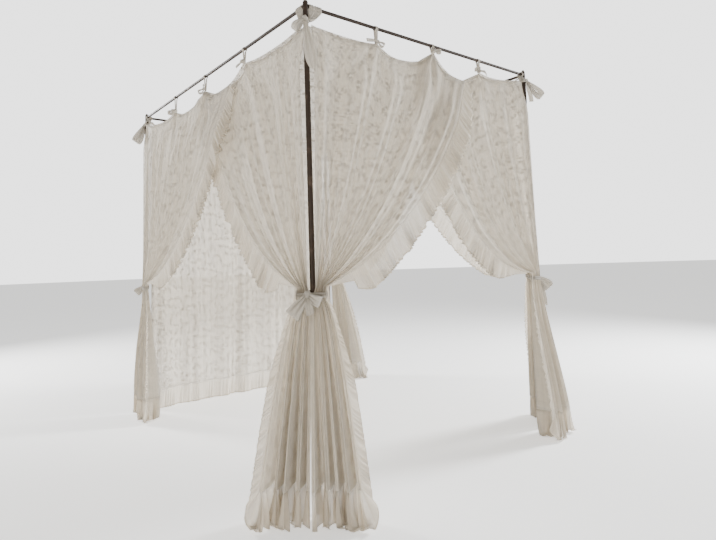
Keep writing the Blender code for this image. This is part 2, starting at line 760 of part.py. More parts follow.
def add_corner_ties():
    """A gathered collar round the post under the rails, its knot and two bow ears."""
    up = Vector((0, 0, 1))
    for name, corner in CORNERS.items():
        along, out, _ = corner_axes(corner, corner.top_turn)
        centre = Vector((*corner.at, corner.height))
        radius = (POST_RADIUS + SASH_CLEAR) / math.cos(math.pi / TUBE_SIDES) + CLOTH / 2
        ring = []
        for step in range(TUBE_SIDES):
            angle = math.tau * (step + 0.5) / TUBE_SIDES
            ring.append(centre + Vector((math.cos(angle), math.sin(angle), 0)) * radius)
        collar = ribbon_shape(ring, [up] * TUBE_SIDES, [COLLAR_WIDTH] * TUBE_SIDES, closed=True)
        knot_at = centre + out * (radius + 0.006)
        knot = knot_shape(knot_at, (along, out, up), (0.012, 0.008, 0.013))
        ears = [ear_shape(knot_at + out * 0.003, (along, out, up), ear) for ear in corner.top_ears]
        add_union("corner_tie_" + name, [collar, knot] + ears, "ribbon")


def held_points(line):
    """Points along a line of (seam height, point), where its seam is at the sash's height."""
    reach = SASH_HEIGHT / 2 + GAP
    points = []
    for (seam, here), (next_seam, there) in zip(line, line[1:]):
        for step in range(HELD_STEPS + 1):
            share = step / HELD_STEPS
            if abs(mix(seam, next_seam, share) - TIE_HEIGHT) < reach:
                points.append(here.lerp(there, share).xy)
    return points


def neck_outline(corner_at):
    """The points round which a sash is tied: the post's, and those of the panels drawn to it."""
    points = []
    for step in range(TUBE_SIDES):
        angle = math.tau * step / TUBE_SIDES
        radius = POST_RADIUS / math.cos(math.pi / TUBE_SIDES)
        points.append(corner_at + Vector((math.cos(angle), math.sin(angle))) * radius)
    for panel in PANELS.values():
        start, along, out = panel_axes(panel)
        if (start.xy - corner_at).length > 0.01:
            continue
        grid = panel_grid(panel)
        seam, loose = ruffle_grid(panel, grid)
        for column in zip(*grid):
            points += held_points([(point.z, point) for point in column])
        for edge in (seam, loose):
            points += held_points([(at.z, point) for at, point in zip(seam, edge)])
    return points


def sash_ring(points):
    """Corners of a polygon that clears all points by half the cloth and SASH_CLEAR."""
    middle = sum(points, Vector((0, 0))) / len(points)
    facets = []
    for step in range(SASH_SIDES):
        angle = math.tau * step / SASH_SIDES
        way = Vector((math.cos(angle), math.sin(angle)))
        reach = max((point - middle).dot(way) for point in points)
        facets.append((way, reach + CLOTH / 2 + SASH_CLEAR))
    ring = []
    for (way, reach), (next_way, next_reach) in zip(facets, facets[1:] + facets[:1]):
        cross = way.x * next_way.y - way.y * next_way.x
        x = (reach * next_way.y - next_reach * way.y) / cross
        y = (next_reach * way.x - reach * next_way.x) / cross
        ring.append(middle + Vector((x, y)))
    return ring


def add_tiebacks():
    up = Vector((0, 0, 1))
    for name, corner in CORNERS.items():
        ring = sash_ring(neck_outline(Vector(corner.at)))
        middle = sum(ring, Vector((0, 0))) / len(ring)
        widened = []
        for here, before, after in zip(ring, ring[-1:] + ring[:-1], ring[1:] + ring[:1]):
            outward = (here - before).normalized() - (after - here).normalized()
            sharp = outward.length / 2
            spread = CLOTH / 2 / max(math.sqrt(1 - sharp * sharp), 0.5)
            widened.append(here + outward.normalized() * spread if sharp > 1e-4 else here)
        points = [Vector((*point, TIE_HEIGHT)) for point in widened]
        count = len(points)
        band = ribbon_shape(points, [up] * count, [SASH_HEIGHT] * count, closed=True)
        add_object("tieback_" + name, band, "ribbon")

        along, out, _ = corner_axes(corner, corner.sash_turn)
        facets = list(zip(points, points[1:] + points[:1]))
        best = max(facets, key=lambda pair: facet_normal(pair).dot(out))
        normal = facet_normal(best)
        seat = (best[0] + best[1]) / 2 + normal * (CLOTH / 2 + GAP * 2)
        axes = (up.cross(normal) * -1, normal, up)
        depth = 0.011
        knot_at = seat + normal * depth
        knot = knot_shape(knot_at, axes, (0.017, depth, 0.019))
        ears = [ear_shape(knot_at + normal * 0.004, axes, ear) for ear in corner.sash_ears]
        add_union("tieback_bow_" + name, [knot] + ears, "ribbon")


def facet_normal(pair):
    run = (pair[1] - pair[0]).normalized()
    return run.cross(Vector((0, 0, 1)))


def build():
    clear_scene()
    add_frame()
    add_panels()
    add_ruffles()
    add_head_net()
    add_roof()
    add_rail_ties()
    add_corner_ties()
    add_tiebacks()


build()
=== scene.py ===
"""Looks of a ruffled bed net on its four-post frame: cloth, ruffles, ribbons, metal and stage.

Metres, +Z up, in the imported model's frame: the floor is z = 0, the foot side faces -Y, and the
closed head side faces +Y. Every cloth surface repeats the named sizes of the part's own source.
"""

from __future__ import annotations

import json
import logging
import math
from dataclasses import dataclass, field
from enum import Enum

import bpy
import numpy as np
from mathutils import Matrix, Vector

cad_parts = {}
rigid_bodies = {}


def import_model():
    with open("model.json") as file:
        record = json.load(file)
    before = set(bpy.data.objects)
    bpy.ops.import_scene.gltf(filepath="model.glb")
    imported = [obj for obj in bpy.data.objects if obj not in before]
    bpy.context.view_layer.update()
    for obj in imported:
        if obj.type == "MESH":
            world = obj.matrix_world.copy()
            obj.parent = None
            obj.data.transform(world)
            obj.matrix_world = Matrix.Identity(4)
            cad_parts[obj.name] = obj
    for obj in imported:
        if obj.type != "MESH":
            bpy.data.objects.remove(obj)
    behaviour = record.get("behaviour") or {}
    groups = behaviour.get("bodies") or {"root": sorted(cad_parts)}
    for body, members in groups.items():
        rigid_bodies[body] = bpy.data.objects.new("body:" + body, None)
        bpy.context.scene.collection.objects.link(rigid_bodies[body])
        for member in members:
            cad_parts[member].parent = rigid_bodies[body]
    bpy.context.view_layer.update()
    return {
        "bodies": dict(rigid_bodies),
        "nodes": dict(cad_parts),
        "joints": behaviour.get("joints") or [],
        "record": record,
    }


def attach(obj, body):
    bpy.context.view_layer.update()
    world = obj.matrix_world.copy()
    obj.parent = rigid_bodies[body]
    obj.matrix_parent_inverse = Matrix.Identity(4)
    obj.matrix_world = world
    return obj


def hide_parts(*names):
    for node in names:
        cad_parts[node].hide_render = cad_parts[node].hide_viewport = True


LOG = logging.getLogger("bed_net")
Number = float | np.ndarray
TAU = 2 * math.pi
UP = np.array((0.0, 0.0, 1.0))

# Where the frame stands, and how the cloth is drawn to it, as in the part's source
FRAME_WIDTH, FRAME_LENGTH = 1.5, 2.0
FRAME_X, FRAME_Y = 0.043, 0.084
WEST, EAST = FRAME_X - FRAME_WIDTH / 2, FRAME_X + FRAME_WIDTH / 2
FOOT, HEAD = FRAME_Y - FRAME_LENGTH / 2, FRAME_Y + FRAME_LENGTH / 2
POST_RADIUS = 0.011
RAIL_HEIGHT, RAIL_RADIUS = 1.97, 0.0075
TIE_HEIGHT, NECK_HEIGHT = 0.81, 0.054
HEM_HEIGHT = 0.13
FLOOR_GAP = 0.0015
LAYER_TOP, LAYER = 0.006, 0.026
POST_SIDE_OUT = 0.014
FIRST_REACH = 0.020
SELVEDGE = 1 / 18
SAG_FLAT = 2.6
NECK_NEAR, NECK_OUT, NECK_DEPTH = 0.016, 0.014, 0.015
NECK_TOP, NECK_BOTTOM = TIE_HEIGHT + NECK_HEIGHT / 2, TIE_HEIGHT - NECK_HEIGHT / 2
NECK_LARGE, NECK_SMALL = NECK_DEPTH * 0.55, NECK_DEPTH * 0.45
NECK_FORWARD = 0.85
TAIL_FLARE = 0.65

# What this script adds: how broad the tails' folds are and how deep, the extra depth of the small
# folds on panels with a long reach, and the length of the cut cloth
BROAD_FOLD = 0.72
TAIL_DEPTH, TAIL_FINE = 1.08, 0.0062
LONG_REACH, LONG_FINE = 1.08, 0.045
CUT_LENGTH = 1.75


# ---------------------------------------------------------------- small helpers


def mix(first: Number, second: Number, share: Number) -> Number:
    """Linear mix of two numbers or arrays."""
    return first + (second - first) * share


def ease(share: Number) -> Number:
    """Smooth step from 0 to 1, for a number or an array."""
    share = np.clip(share, 0.0, 1.0)
    return share * share * (3 - 2 * share)


def unit(vectors: np.ndarray) -> np.ndarray:
    """Vectors scaled to length 1 along the last axis."""
    length = np.linalg.norm(vectors, axis=-1, keepdims=True)
    return vectors / np.maximum(length, 1e-12)


def spread(first: np.ndarray, second: np.ndarray) -> tuple[np.ndarray, np.ndarray]:
    """Two rows of values as a grid: the first runs down it and the second across it."""
    return np.meshgrid(first, second, indexing="ij")


def bow(fall: np.ndarray, first: Number, second: Number) -> np.ndarray:
    """A cubic curve from 1 at fall 0 to 0 at fall 1, with two values that pull it between."""
    rest = 1 - fall
    return rest**3 + 3 * rest * rest * fall * first + 3 * rest * fall * fall * second


def circle(count: int) -> np.ndarray:
    """Even points round a circle of radius 1, (count, 2)."""
    angles = np.arange(count) / count * TAU
    return np.stack((np.cos(angles), np.sin(angles)), axis=-1)


def run_along(points: np.ndarray) -> np.ndarray:
    """Distance along a row of points, from its first one."""
    steps = np.linalg.norm(np.diff(points, axis=0), axis=-1)
    return np.concatenate(([0.0], np.cumsum(steps)))


def resample(points: np.ndarray, places: np.ndarray, wanted: np.ndarray) -> np.ndarray:
    """Points of a row at other places along it.

    Args:
        points: The row, (count, 3).
        places: The place of each of its points.
        wanted: The places that are wanted.

    Returns:
        One point for each wanted place.
    """
    return np.stack([np.interp(wanted, places, points[:, k]) for k in range(3)], axis=-1)


def soften(points: np.ndarray, weights: np.ndarray) -> np.ndarray:
    """A row of points, each averaged over its neighbours with an odd count of weights.

    Args:
        points: The row, (count, 3).
        weights: An odd count of weights.

    Returns:
        The softened row.
    """
    half = len(weights) // 2

    def average(values: np.ndarray) -> np.ndarray:
        """Average one coordinate."""
        return np.convolve(np.pad(values, half, "edge"), weights / weights.sum(), "valid")

    return np.apply_along_axis(average, 0, points)


def tie_puckers(along: np.ndarray, below: np.ndarray, place: float, depth: float) -> np.ndarray:
    """Small folds that spread downwards from a tie.

    Args:
        along: Distance from the tie along the rail.
        below: Distance below it.
        place: The tie's place along its rail, which sets the folds' phase.
        depth: Depth of the folds.

    Returns:
        How far the cloth stands out.
    """
    away = np.hypot(along, below)
    turn = np.arctan2(along, np.maximum(below, 1e-4))
    return depth * np.cos(7.5 * turn + place * 40) * np.exp(-away / 0.20) * ease(away / 0.06)


# ---------------------------------------------------------------- meshes


class Sheets:
    """Makes cloth objects out of grids of points."""

    VOILE = 0.0008
    RIBBON = 0.0009

    @staticmethod
    def from_grid(
        name: str,
        grid: np.ndarray,
        uv: np.ndarray,
        closed: bool = False,
        attributes: dict[str, np.ndarray] | None = None,
    ) -> bpy.types.Object:
        """Make a single-layer sheet.

        Args:
            name: The object's name.
            grid: Points, (rows, columns, 3).
            uv: Place on the flat cloth in metres, (rows, columns, 2).
            closed: Join the last column to the first.
            attributes: Extra values for each point, by name.

        Returns:
            The new object, at the origin.
        """
        rows, columns = grid.shape[:2]
        order = np.arange(rows * columns).reshape(rows, columns)
        after = np.roll(order, -1, axis=1) if closed else order[:, 1:]
        here = order if closed else order[:, :-1]
        quads = np.stack((here[:-1], after[:-1], after[1:], here[1:]), axis=-1).reshape(-1, 4)
        mesh = bpy.data.meshes.new(name)
        mesh.from_pydata(grid.reshape(-1, 3).tolist(), [], quads.tolist())
        layer = mesh.uv_layers.new(name="cloth")
        flat = uv.reshape(-1, 2)[quads.reshape(-1)]
        if closed:
            turn = flat.reshape(-1, 4, 2)
            width = uv[0, -1, 0] * columns / (columns - 1)
            late = (here[:-1] == columns - 1 + order[:-1, :1]).reshape(-1)
            turn[late, 1:3, 0] += width
            flat = turn.reshape(-1, 2)
        layer.data.foreach_set("uv", flat.astype(np.float32).reshape(-1))
        for key, values in (attributes or {}).items():
            kind = "FLOAT_VECTOR" if values.shape[-1:] == (3,) and values.ndim == 3 else "FLOAT"
            made = mesh.attributes.new(key, kind, "POINT")
            slot = "vector" if kind == "FLOAT_VECTOR" else "value"
            made.data.foreach_set(slot, values.astype(np.float32).reshape(-1))
        mesh.shade_smooth()
        made = bpy.data.objects.new(name, mesh)
        bpy.context.scene.collection.objects.link(made)
        return made

    @staticmethod
    def settle(made: bpy.types.Object) -> bpy.types.Object:
        """Turn the object's modifiers into its plain mesh and remove them.

        Args:
            made: The object.

        Returns:
            The same object.
        """
        graph = bpy.context.evaluated_depsgraph_get()
        mesh = bpy.data.meshes.new_from_object(made.evaluated_get(graph), depsgraph=graph)
        made.modifiers.clear()
        old, made.data = made.data, mesh
        mesh.name = made.name
        bpy.data.meshes.remove(old)
        return made

    @staticmethod
    def rest(made: bpy.types.Object, height: float) -> None:
        """Lay whatever would sink below a height flat on it.

        Args:
            made: The object.
            height: The height.
        """
        places = np.empty(len(made.data.vertices) * 3, dtype=np.float32)
        made.data.vertices.foreach_get("co", places)
        places[2::3] = np.maximum(places[2::3], height)
        made.data.vertices.foreach_set("co", places)

    @staticmethod
    def thicken(made: bpy.types.Object, thickness: float) -> bpy.types.Object:
        """Close a single-layer sheet into a thin solid, half to each side.

        Args:
            made: The sheet.
            thickness: Its thickness.

        Returns:
            The same object.
        """
        solid = made.modifiers.new("cloth", "SOLIDIFY")
        solid.thickness = thickness
        solid.offset = 0.0
        return Sheets.settle(made)

    @staticmethod
    def paint(made: bpy.types.Object, finish: bpy.types.Material) -> bpy.types.Object:
        """Give a piece its one finish.

        Args:
            made: The piece.
            finish: Its material.

        Returns:
            The same object.
        """
        made.data.materials.clear()
        made.data.materials.append(finish)
        return made

    @staticmethod
    def join(name: str, pieces: list[bpy.types.Object]) -> bpy.types.Object:
        """Join pieces into one object.

        Args:
            name: The new object's name.
            pieces: What to join.

        Returns:
            The joined object.
        """
        graph = bpy.context.evaluated_depsgraph_get()
        with bpy.context.temp_override(
            active_object=pieces[0], selected_editable_objects=pieces, depsgraph=graph
        ):
            bpy.ops.object.join()
        pieces[0].name = name
        pieces[0].data.name = name
        return pieces[0]

    @staticmethod
    def area(made: bpy.types.Object) -> float:
        """Half the area of a closed thin sheet, in square metres.

        Args:
            made: The sheet.

        Returns:
            The area.
        """
        mesh = made.data
        values = np.empty(len(mesh.polygons), dtype=np.float32)
        mesh.polygons.foreach_get("area", values)
        return float(values.sum()) / 2


# ---------------------------------------------------------------- node trees


class Shades:
    """Writes the maths of a shader or geometry tree without repeating the node calls."""

    def __init__(self, tree: bpy.types.NodeTree) -> None:
        """Keep the tree that nodes are added to."""
        self.tree = tree

    def add(self, kind: str, **settings: object) -> bpy.types.Node:
        """Add a node and set its properties.

        Args:
            kind: The node's type.
            settings: Its properties, by name.

        Returns:
            The node.
        """
        node = self.tree.nodes.new(kind)
        for key, value in settings.items():
            setattr(node, key, value)
        return node

    def feed(self, socket: bpy.types.NodeSocket, value: object) -> None:
        """Link a socket to another, or set its value."""
        if isinstance(value, bpy.types.NodeSocket):
            self.tree.links.new(value, socket)
        else:
            socket.default_value = value

    def sum(self, operation: str, *values: object, clamp: bool = False) -> bpy.types.NodeSocket:
        """A Math node over one to three values.

        Args:
            operation: What the node does.
            values: Numbers or sockets.
            clamp: Keep the result within 0 and 1.

        Returns:
            The result.
        """
        node = self.add("ShaderNodeMath", operation=operation, use_clamp=clamp)
        for socket, value in zip(node.inputs, values):
            self.feed(socket, value)
        return node.outputs[0]

    def times(self, *values: object) -> bpy.types.NodeSocket:
        """The product of two or more values.

        Args:
            values: Numbers or sockets.

        Returns:
            The product.
        """
        product = values[0]
        for value in values[1:]:
            product = self.sum("MULTIPLY", product, value)
        return product

    def squares(self, first: object, second: object) -> bpy.types.NodeSocket:
        """The sum of two squares."""
        return self.sum("ADD", self.times(first, first), self.times(second, second))

    def vector(self, operation: str, first: object, second: object) -> bpy.types.NodeSocket:
        """A Vector Math node over two vectors, or a vector and a scale.

        Args:
            operation: What the node does.
            first: A vector.
            second: Another vector, or the scale.

        Returns:
            The result.
        """
        node = self.add("ShaderNodeVectorMath", operation=operation)
        self.feed(node.inputs[0], first)
        self.feed(node.inputs["Scale"] if operation == "SCALE" else node.inputs[1], second)
        return node.outputs[0]

    def parts(self, vector: object) -> tuple[bpy.types.NodeSocket, ...]:
        """The three parts of a vector or colour.

        Args:
            vector: A vector or colour.

        Returns:
            Its three parts.
        """
        node = self.add("ShaderNodeSeparateXYZ")
        self.feed(node.inputs[0], vector)
        return tuple(node.outputs)

    def bump(self, height: object, strength: float, distance: float) -> bpy.types.NodeSocket:
        """A normal raised by a height.

        Args:
            height: The height.
            strength: Share of the effect.
            distance: Metres for a height of 1.

        Returns:
            The normal.
        """
        node = self.add("ShaderNodeBump")
        node.inputs["Strength"].default_value = strength
        node.inputs["Distance"].default_value = distance
        self.feed(node.inputs["Height"], height)
        return node.outputs[0]

    def named(self, name: str, kind: str) -> bpy.types.NodeSocket:
        """A named attribute in a geometry tree.

        Args:
            name: The attribute's name.
            kind: Its data type.

        Returns:
            Its value.
        """
        node = self.add("GeometryNodeInputNamedAttribute", data_type=kind)
        node.inputs["Name"].default_value = name
        return next(s for s in node.outputs if s.enabled and s.name == "Attribute")

    def band(self, value: object, low: float, high: float) -> bpy.types.NodeSocket:
        """1 below low and 0 above high, smooth between.

        Args:
            value: A number or socket.
            low: Where it starts to fall.
            high: Where it reaches 0.

        Returns:
            The result.
        """
        node = self.add("ShaderNodeMapRange", interpolation_type="SMOOTHSTEP")
        self.feed(node.inputs["Value"], value)
        node.inputs["From Min"].default_value = low
        node.inputs["From Max"].default_value = high
        node.inputs["To Min"].default_value = 1.0
        node.inputs["To Max"].default_value = 0.0
        return node.outputs["Result"]

    def noise(self, place: object, scale: float, detail: float = 2.0) -> bpy.types.NodeSocket:
        """Noise from 0 to 1 at a place.

        Args:
            place: The place.
            scale: Size of the noise, per metre.
            detail: How many finer layers it has.

        Returns:
            The noise.
        """
        node = self.add("ShaderNodeTexNoise")
        self.feed(node.inputs["Vector"], place)
        node.inputs["Scale"].default_value = scale
        node.inputs["Detail"].default_value = detail
        return node.outputs[0]

    def blend(self, share: object, first: object, second: object) -> bpy.types.NodeSocket:
        """A mix of two colours.

        Args:
            share: How much of the second.
            first: A colour.
            second: Another one.

        Returns:
            The mix.
        """
        node = self.add("ShaderNodeMix", data_type="RGBA")
        self.feed(node.inputs[0], share)
        self.feed(node.inputs[6], first)
        self.feed(node.inputs[7], second)
        return node.outputs[2]


def rgba(colour: tuple[float, float, float]) -> tuple[float, float, float, float]:
    """A colour with full opacity."""
    return (*colour, 1.0)


# ---------------------------------------------------------------- finishes


class Motif(Enum):
    """What is worked into a voile."""

    SPRIGS = "sprigs"
    PLAIN = "plain"


@dataclass(frozen=True)
class Scatter:
    """Cells over the cloth, each with its own place and turn, for a motif that is drawn once."""

    spacing: float
    shrink: float
    stray: float

    def places(self, shade: Shades, flat: object) -> tuple[bpy.types.NodeSocket, ...]:
        """Find the place within the motif's own drawing.

        Args:
            shade: The tree's helper.
            flat: Place on the flat cloth in metres.

        Returns:
            The place's x and y, and the cell's chance from 0 to 1.
        """
        cell = shade.add("ShaderNodeTexVoronoi", voronoi_dimensions="2D")
        shade.feed(cell.inputs["Vector"], flat)
        cell.inputs["Scale"].default_value = 1 / self.spacing
        cell.inputs["Randomness"].default_value = self.stray
        away = shade.vector("SUBTRACT", flat, cell.outputs["Position"])
        turn, chance, _ = shade.parts(cell.outputs["Color"])
        turned = shade.add("ShaderNodeVectorRotate", rotation_type="Z_AXIS")
        shade.feed(turned.inputs["Vector"], shade.vector("SCALE", away, self.shrink))
        shade.feed(turned.inputs["Angle"], shade.times(turn, TAU))
        x, y, _ = shade.parts(turned.outputs[0])
        return x, y, chance


@dataclass(frozen=True)
class Sprig:
    """A curved stem with a leaf to each side in turn and a five-petalled flower at its end."""

    cells: Scatter = Scatter(0.060, 1.12, 0.6)
    stem_wave: float = 0.075
    stem_bend: float = 0.007
    stem_end: tuple[float, float] = (0.024, 0.027)
    stem_half: tuple[float, float] = (0.0005, 0.0014)
    leaf_pitch: float = 0.0096
    leaf_out: float = 0.0075
    leaf_long: float = 0.0082
    leaf_short: float = 0.0031
    leaf_slant: float = 0.9
    leaf_edge: tuple[float, float] = (0.70, 1.10)
    flower_at: float = 0.027
    flower_radius: float = 0.0088
    flower_edge: tuple[float, float] = (0.86, 1.06)
    petals: float = 5.0
    petal_depth: float = 0.0028
    eye: tuple[float, float] = (0.0014, 0.0024)

    def stem(self, shade: Shades, off: object) -> bpy.types.NodeSocket:
        """The stem's line, from the distance off its middle."""
        return shade.band(shade.sum("ABSOLUTE", off), *self.stem_half)

    def leaf(self, shade: Shades, off: object, y: object) -> bpy.types.NodeSocket:
        """A slanted leaf at each step up the stem, on the other side from the last.

        Args:
            shade: The tree's helper.
            off: Distance off the stem.
            y: Place up the stem.

        Returns:
            The leaves' mask.
        """
        rank = shade.sum("FLOOR", shade.sum("DIVIDE", y, self.leaf_pitch))
        side = shade.sum("MULTIPLY_ADD", shade.sum("FLOORED_MODULO", rank, 2.0), 2.0, -1.0)
        along = shade.sum("SUBTRACT", shade.sum("FLOORED_MODULO", y, self.leaf_pitch), self.leaf_pitch / 2)
        beside = shade.sum("SUBTRACT", shade.times(off, side), self.leaf_out)
        lean = 1 / math.hypot(1, self.leaf_slant)
        long = shade.sum("MULTIPLY_ADD", along, -self.leaf_slant, beside)
        short = shade.sum("MULTIPLY_ADD", beside, self.leaf_slant, along)
        long, short = shade.times(long, lean / self.leaf_long), shade.times(short, lean / self.leaf_short)
        return shade.band(shade.squares(long, short), *self.leaf_edge)

    def flower(self, shade: Shades, x: object, y: object) -> bpy.types.NodeSocket:
        """The flower, with a thinner eye.

        Args:
            shade: The tree's helper.
            x: Place across the drawing.
            y: Place up the drawing.

        Returns:
            The flower's mask.
        """
        rise = shade.sum("SUBTRACT", y, self.flower_at)
        radius = shade.sum("SQRT", shade.squares(x, rise))
        petal = shade.sum("COSINE", shade.times(shade.sum("ARCTAN2", rise, x), self.petals))
        rim = shade.sum("MULTIPLY_ADD", petal, self.petal_depth, self.flower_radius)
        whole = shade.band(shade.sum("DIVIDE", radius, rim), *self.flower_edge)
        return shade.sum("SUBTRACT", whole, shade.times(shade.band(radius, *self.eye), 0.8))

    def mask(self, shade: Shades, flat: object) -> bpy.types.NodeSocket:
        """The whole sprig, 1 where it is worked.

        Args:
            shade: The tree's helper.
            flat: Place on the flat cloth in metres.

        Returns:
            The mask.
        """
        x, y, _ = self.cells.places(shade, flat)
        bend = shade.sum("SINE", shade.times(y, TAU / self.stem_wave))
        off = shade.sum("MULTIPLY_ADD", bend, -self.stem_bend, x)
        inside = shade.band(shade.sum("ABSOLUTE", y), *self.stem_end)
        leafy = shade.sum("MAXIMUM", self.stem(shade, off), self.leaf(shade, off, y))
        return shade.sum("MAXIMUM", shade.times(leafy, inside), self.flower(shade, x, y))


@dataclass(frozen=True)
class Bud:
    """Small single buds between the sprigs, in about half of their cells."""

    cells: Scatter = Scatter(0.019, 1.0, 0.9)
    half_width: float = 0.0030
    half_length: float = 0.0062
    edge: tuple[float, float] = (0.6, 1.2)
    left_out: float = 0.45
    strength: float = 0.8

    def mask(self, shade: Shades, flat: object) -> bpy.types.NodeSocket:
        """The buds, as strong as they are worked.

        Args:
            shade: The tree's helper.
            flat: Place on the flat cloth in metres.

        Returns:
            The mask.
        """
        x, y, chance = self.cells.places(shade, flat)
        wide, long = shade.sum("DIVIDE", x, self.half_width), shade.sum("DIVIDE", y, self.half_length)
        bud = shade.band(shade.squares(wide, long), *self.edge)
        return shade.times(bud, shade.sum("GREATER_THAN", chance, self.left_out), self.strength)


@dataclass(frozen=True)
class Voile:
    """Sheer cloth: a fine open weave, with leafy sprigs worked into it where it has them; the worked colour
    is tinted darker as painted shade.
    """

    name: str
    colour: tuple[float, float, float]
    # Colour of the worked parts: darker than the thread really is, as painted shade for the light that the
    # denser threads hold back
    worked: tuple[float, float, float]
    motif: Motif
    ground_cover: float = 0.65
    worked_cover: float = 0.96
    gathered_cover: float = 0.20
    gathered_fade: float = 0.45
    passing: float = 0.46
    thread: float = 0.0011
    hem: float = 0.0
    hem_edge: float = 0.0012
    streaks: tuple[float, float, float] = (130.0, 5.0, 1.0)
    streak_cover: float = 0.36
    streak_rise: float = 1.2
    slub_cover: float = 0.16
    weave_cover: float = 0.10
    weave_rise: float = 0.35
    cloud: float = 0.8
    shadow: float = 0.86

    def weave(self, shade: Shades, flat: object) -> bpy.types.NodeSocket:
        """The crossing threads, from -0.5 to 0.5."""
        threads = [shade.sum("SINE", shade.times(part, TAU / self.thread)) for part in shade.parts(flat)[:2]]
        return shade.times(shade.sum("ADD", *threads), 0.25)

    def work(self, shade: Shades, flat: object) -> tuple[bpy.types.NodeSocket, object]:
        """The worked motif, fainter where the cloth is gathered, or the hem's turned edge.

        Args:
            shade: The tree's helper.
            flat: Place on the flat cloth in metres.

        Returns:
            The motif's mask, and how tightly the cloth is gathered, 0 to 1.
        """
        if self.motif is Motif.PLAIN:
            return shade.band(shade.parts(flat)[1], self.hem, self.hem + self.hem_edge), 0.0
        gathered = shade.add("ShaderNodeAttribute", attribute_name="gathered").outputs["Fac"]
        sprigs = shade.sum("MAXIMUM", Sprig().mask(shade, flat), Bud().mask(shade, flat), clamp=True)
        return shade.times(sprigs, shade.sum("MULTIPLY_ADD", gathered, -self.gathered_fade, 1.0)), gathered

    def surface(self, shade: Shades, tone: object, cover: object, normal: object) -> bpy.types.NodeSocket:
        """Mix the light that the cloth reflects with what passes through it.

        Args:
            shade: The tree's helper.
            tone: The cloth's colour.
            cover: Share of the surface that threads cover.
            normal: The bumped normal.

        Returns:
            The surface's shader.
        """
        body = shade.add("ShaderNodeBsdfPrincipled")
        shade.feed(body.inputs["Base Color"], tone)
        shade.feed(body.inputs["Alpha"], cover)
        shade.feed(body.inputs["Normal"], normal)
        body.inputs["Roughness"].default_value = 0.82
        body.inputs["Specular IOR Level"].default_value = 0.25
        body.inputs["Sheen Weight"].default_value = 0.15
        body.inputs["Sheen Roughness"].default_value = 0.5
        glow = shade.add("ShaderNodeBsdfTranslucent")
        shade.feed(glow.inputs["Color"], tone)
        through = shade.add("ShaderNodeMixShader")
        shade.feed(through.inputs[0], cover)
        shade.feed(through.inputs[1], shade.add("ShaderNodeBsdfTransparent").outputs[0])
        shade.feed(through.inputs[2], glow.outputs[0])
        both = shade.add("ShaderNodeMixShader")
        both.inputs[0].default_value = self.passing
        shade.feed(both.inputs[1], body.outputs[0])
        shade.feed(both.inputs[2], through.outputs[0])
        return both.outputs[0]

    def material(self) -> bpy.types.Material:
        """Build the cloth's material on the piece's own flat-cloth UV, in metres.

        Returns:
            The material.
        """
        made = bpy.data.materials.new(self.name)
        made.use_nodes = True
        made.node_tree.nodes.clear()
        shade = Shades(made.node_tree)
        flat = shade.add("ShaderNodeUVMap", uv_map="cloth").outputs[0]
        weave = self.weave(shade, flat)
        motif, gathered = self.work(shade, flat)
        streak = shade.noise(shade.vector("MULTIPLY", flat, self.streaks), 1.0, 2.0)
        slub, cloud = shade.noise(flat, 70.0, 3.0), shade.noise(flat, 7.0, 3.0)
        cover = shade.sum("MULTIPLY_ADD", motif, self.worked_cover - self.ground_cover, self.ground_cover)
        cover = shade.sum("MULTIPLY_ADD", gathered, self.gathered_cover, cover)
        for part, amount in ((slub, self.slub_cover), (streak, self.streak_cover)):
            cover = shade.sum("ADD", cover, shade.sum("MULTIPLY_ADD", part, amount, -amount / 2))
        cover = shade.sum("MULTIPLY_ADD", weave, self.weave_cover, cover, clamp=True)
        dark = tuple(c * self.shadow for c in self.colour)
        tone = shade.blend(shade.times(cloud, self.cloud), rgba(self.colour), rgba(dark))
        # Painted shade: the worked sprigs and the ruffle's hem take a darker tone, for the light that their
        # denser threads hold back
        tone = shade.blend(motif, tone, rgba(self.worked))
        height = shade.sum("MULTIPLY_ADD", weave, self.weave_rise, motif)
        height = shade.sum("MULTIPLY_ADD", streak, self.streak_rise, height)
        surface = self.surface(shade, tone, cover, shade.bump(height, 0.35, 0.0012))
        shade.feed(shade.add("ShaderNodeOutputMaterial").inputs["Surface"], surface)
        return made


@dataclass(frozen=True)
class CoatedTube:
    """Dark brown coated steel, a little worn and dusty."""

    name: str = "coated_tube"
    colour: tuple[float, float, float] = (0.030, 0.020, 0.014)
    worn: tuple[float, float, float] = (0.095, 0.066, 0.047)

    def material(self) -> bpy.types.Material:
        """Build the metal's material.

        Returns:
            The material.
        """
        made, shade, body, place = start_solid(self.name)
        patches, specks = shade.noise(place, 14.0, 6.0), shade.noise(place, 260.0, 3.0)
        worn = shade.times(shade.sum("SUBTRACT", 1.0, shade.band(patches, 0.52, 0.70)), 0.55)
        shade.feed(body.inputs["Base Color"], shade.blend(worn, rgba(self.colour), rgba(self.worn)))
        shade.feed(body.inputs["Roughness"], shade.sum("MULTIPLY_ADD", specks, 0.15, 0.46))
        body.inputs["Metallic"].default_value = 0.1
        body.inputs["Specular IOR Level"].default_value = 0.22
        shade.feed(body.inputs["Normal"], shade.bump(specks, 0.15, 0.0006))
        return made


@dataclass(frozen=True)
class MouldedCap:
    """Grey moulded cap with a fine satin grain."""

    name: str = "moulded_cap"
    colour: tuple[float, float, float] = (0.30, 0.29, 0.27)

    def material(self) -> bpy.types.Material:
        """Build the cap's material.

        Returns:
            The material.
        """
        made, shade, body, place = start_solid(self.name)
        grain, scuff = shade.noise(place, 900.0, 2.0), shade.noise(place, 60.0, 4.0)
        dark = tuple(c * 0.75 for c in self.colour)
        shade.feed(body.inputs["Base Color"], shade.blend(scuff, rgba(self.colour), rgba(dark)))
        shade.feed(body.inputs["Roughness"], shade.sum("MULTIPLY_ADD", scuff, 0.2, 0.40))
        shade.feed(body.inputs["Normal"], shade.bump(grain, 0.2, 0.0003))
        return made


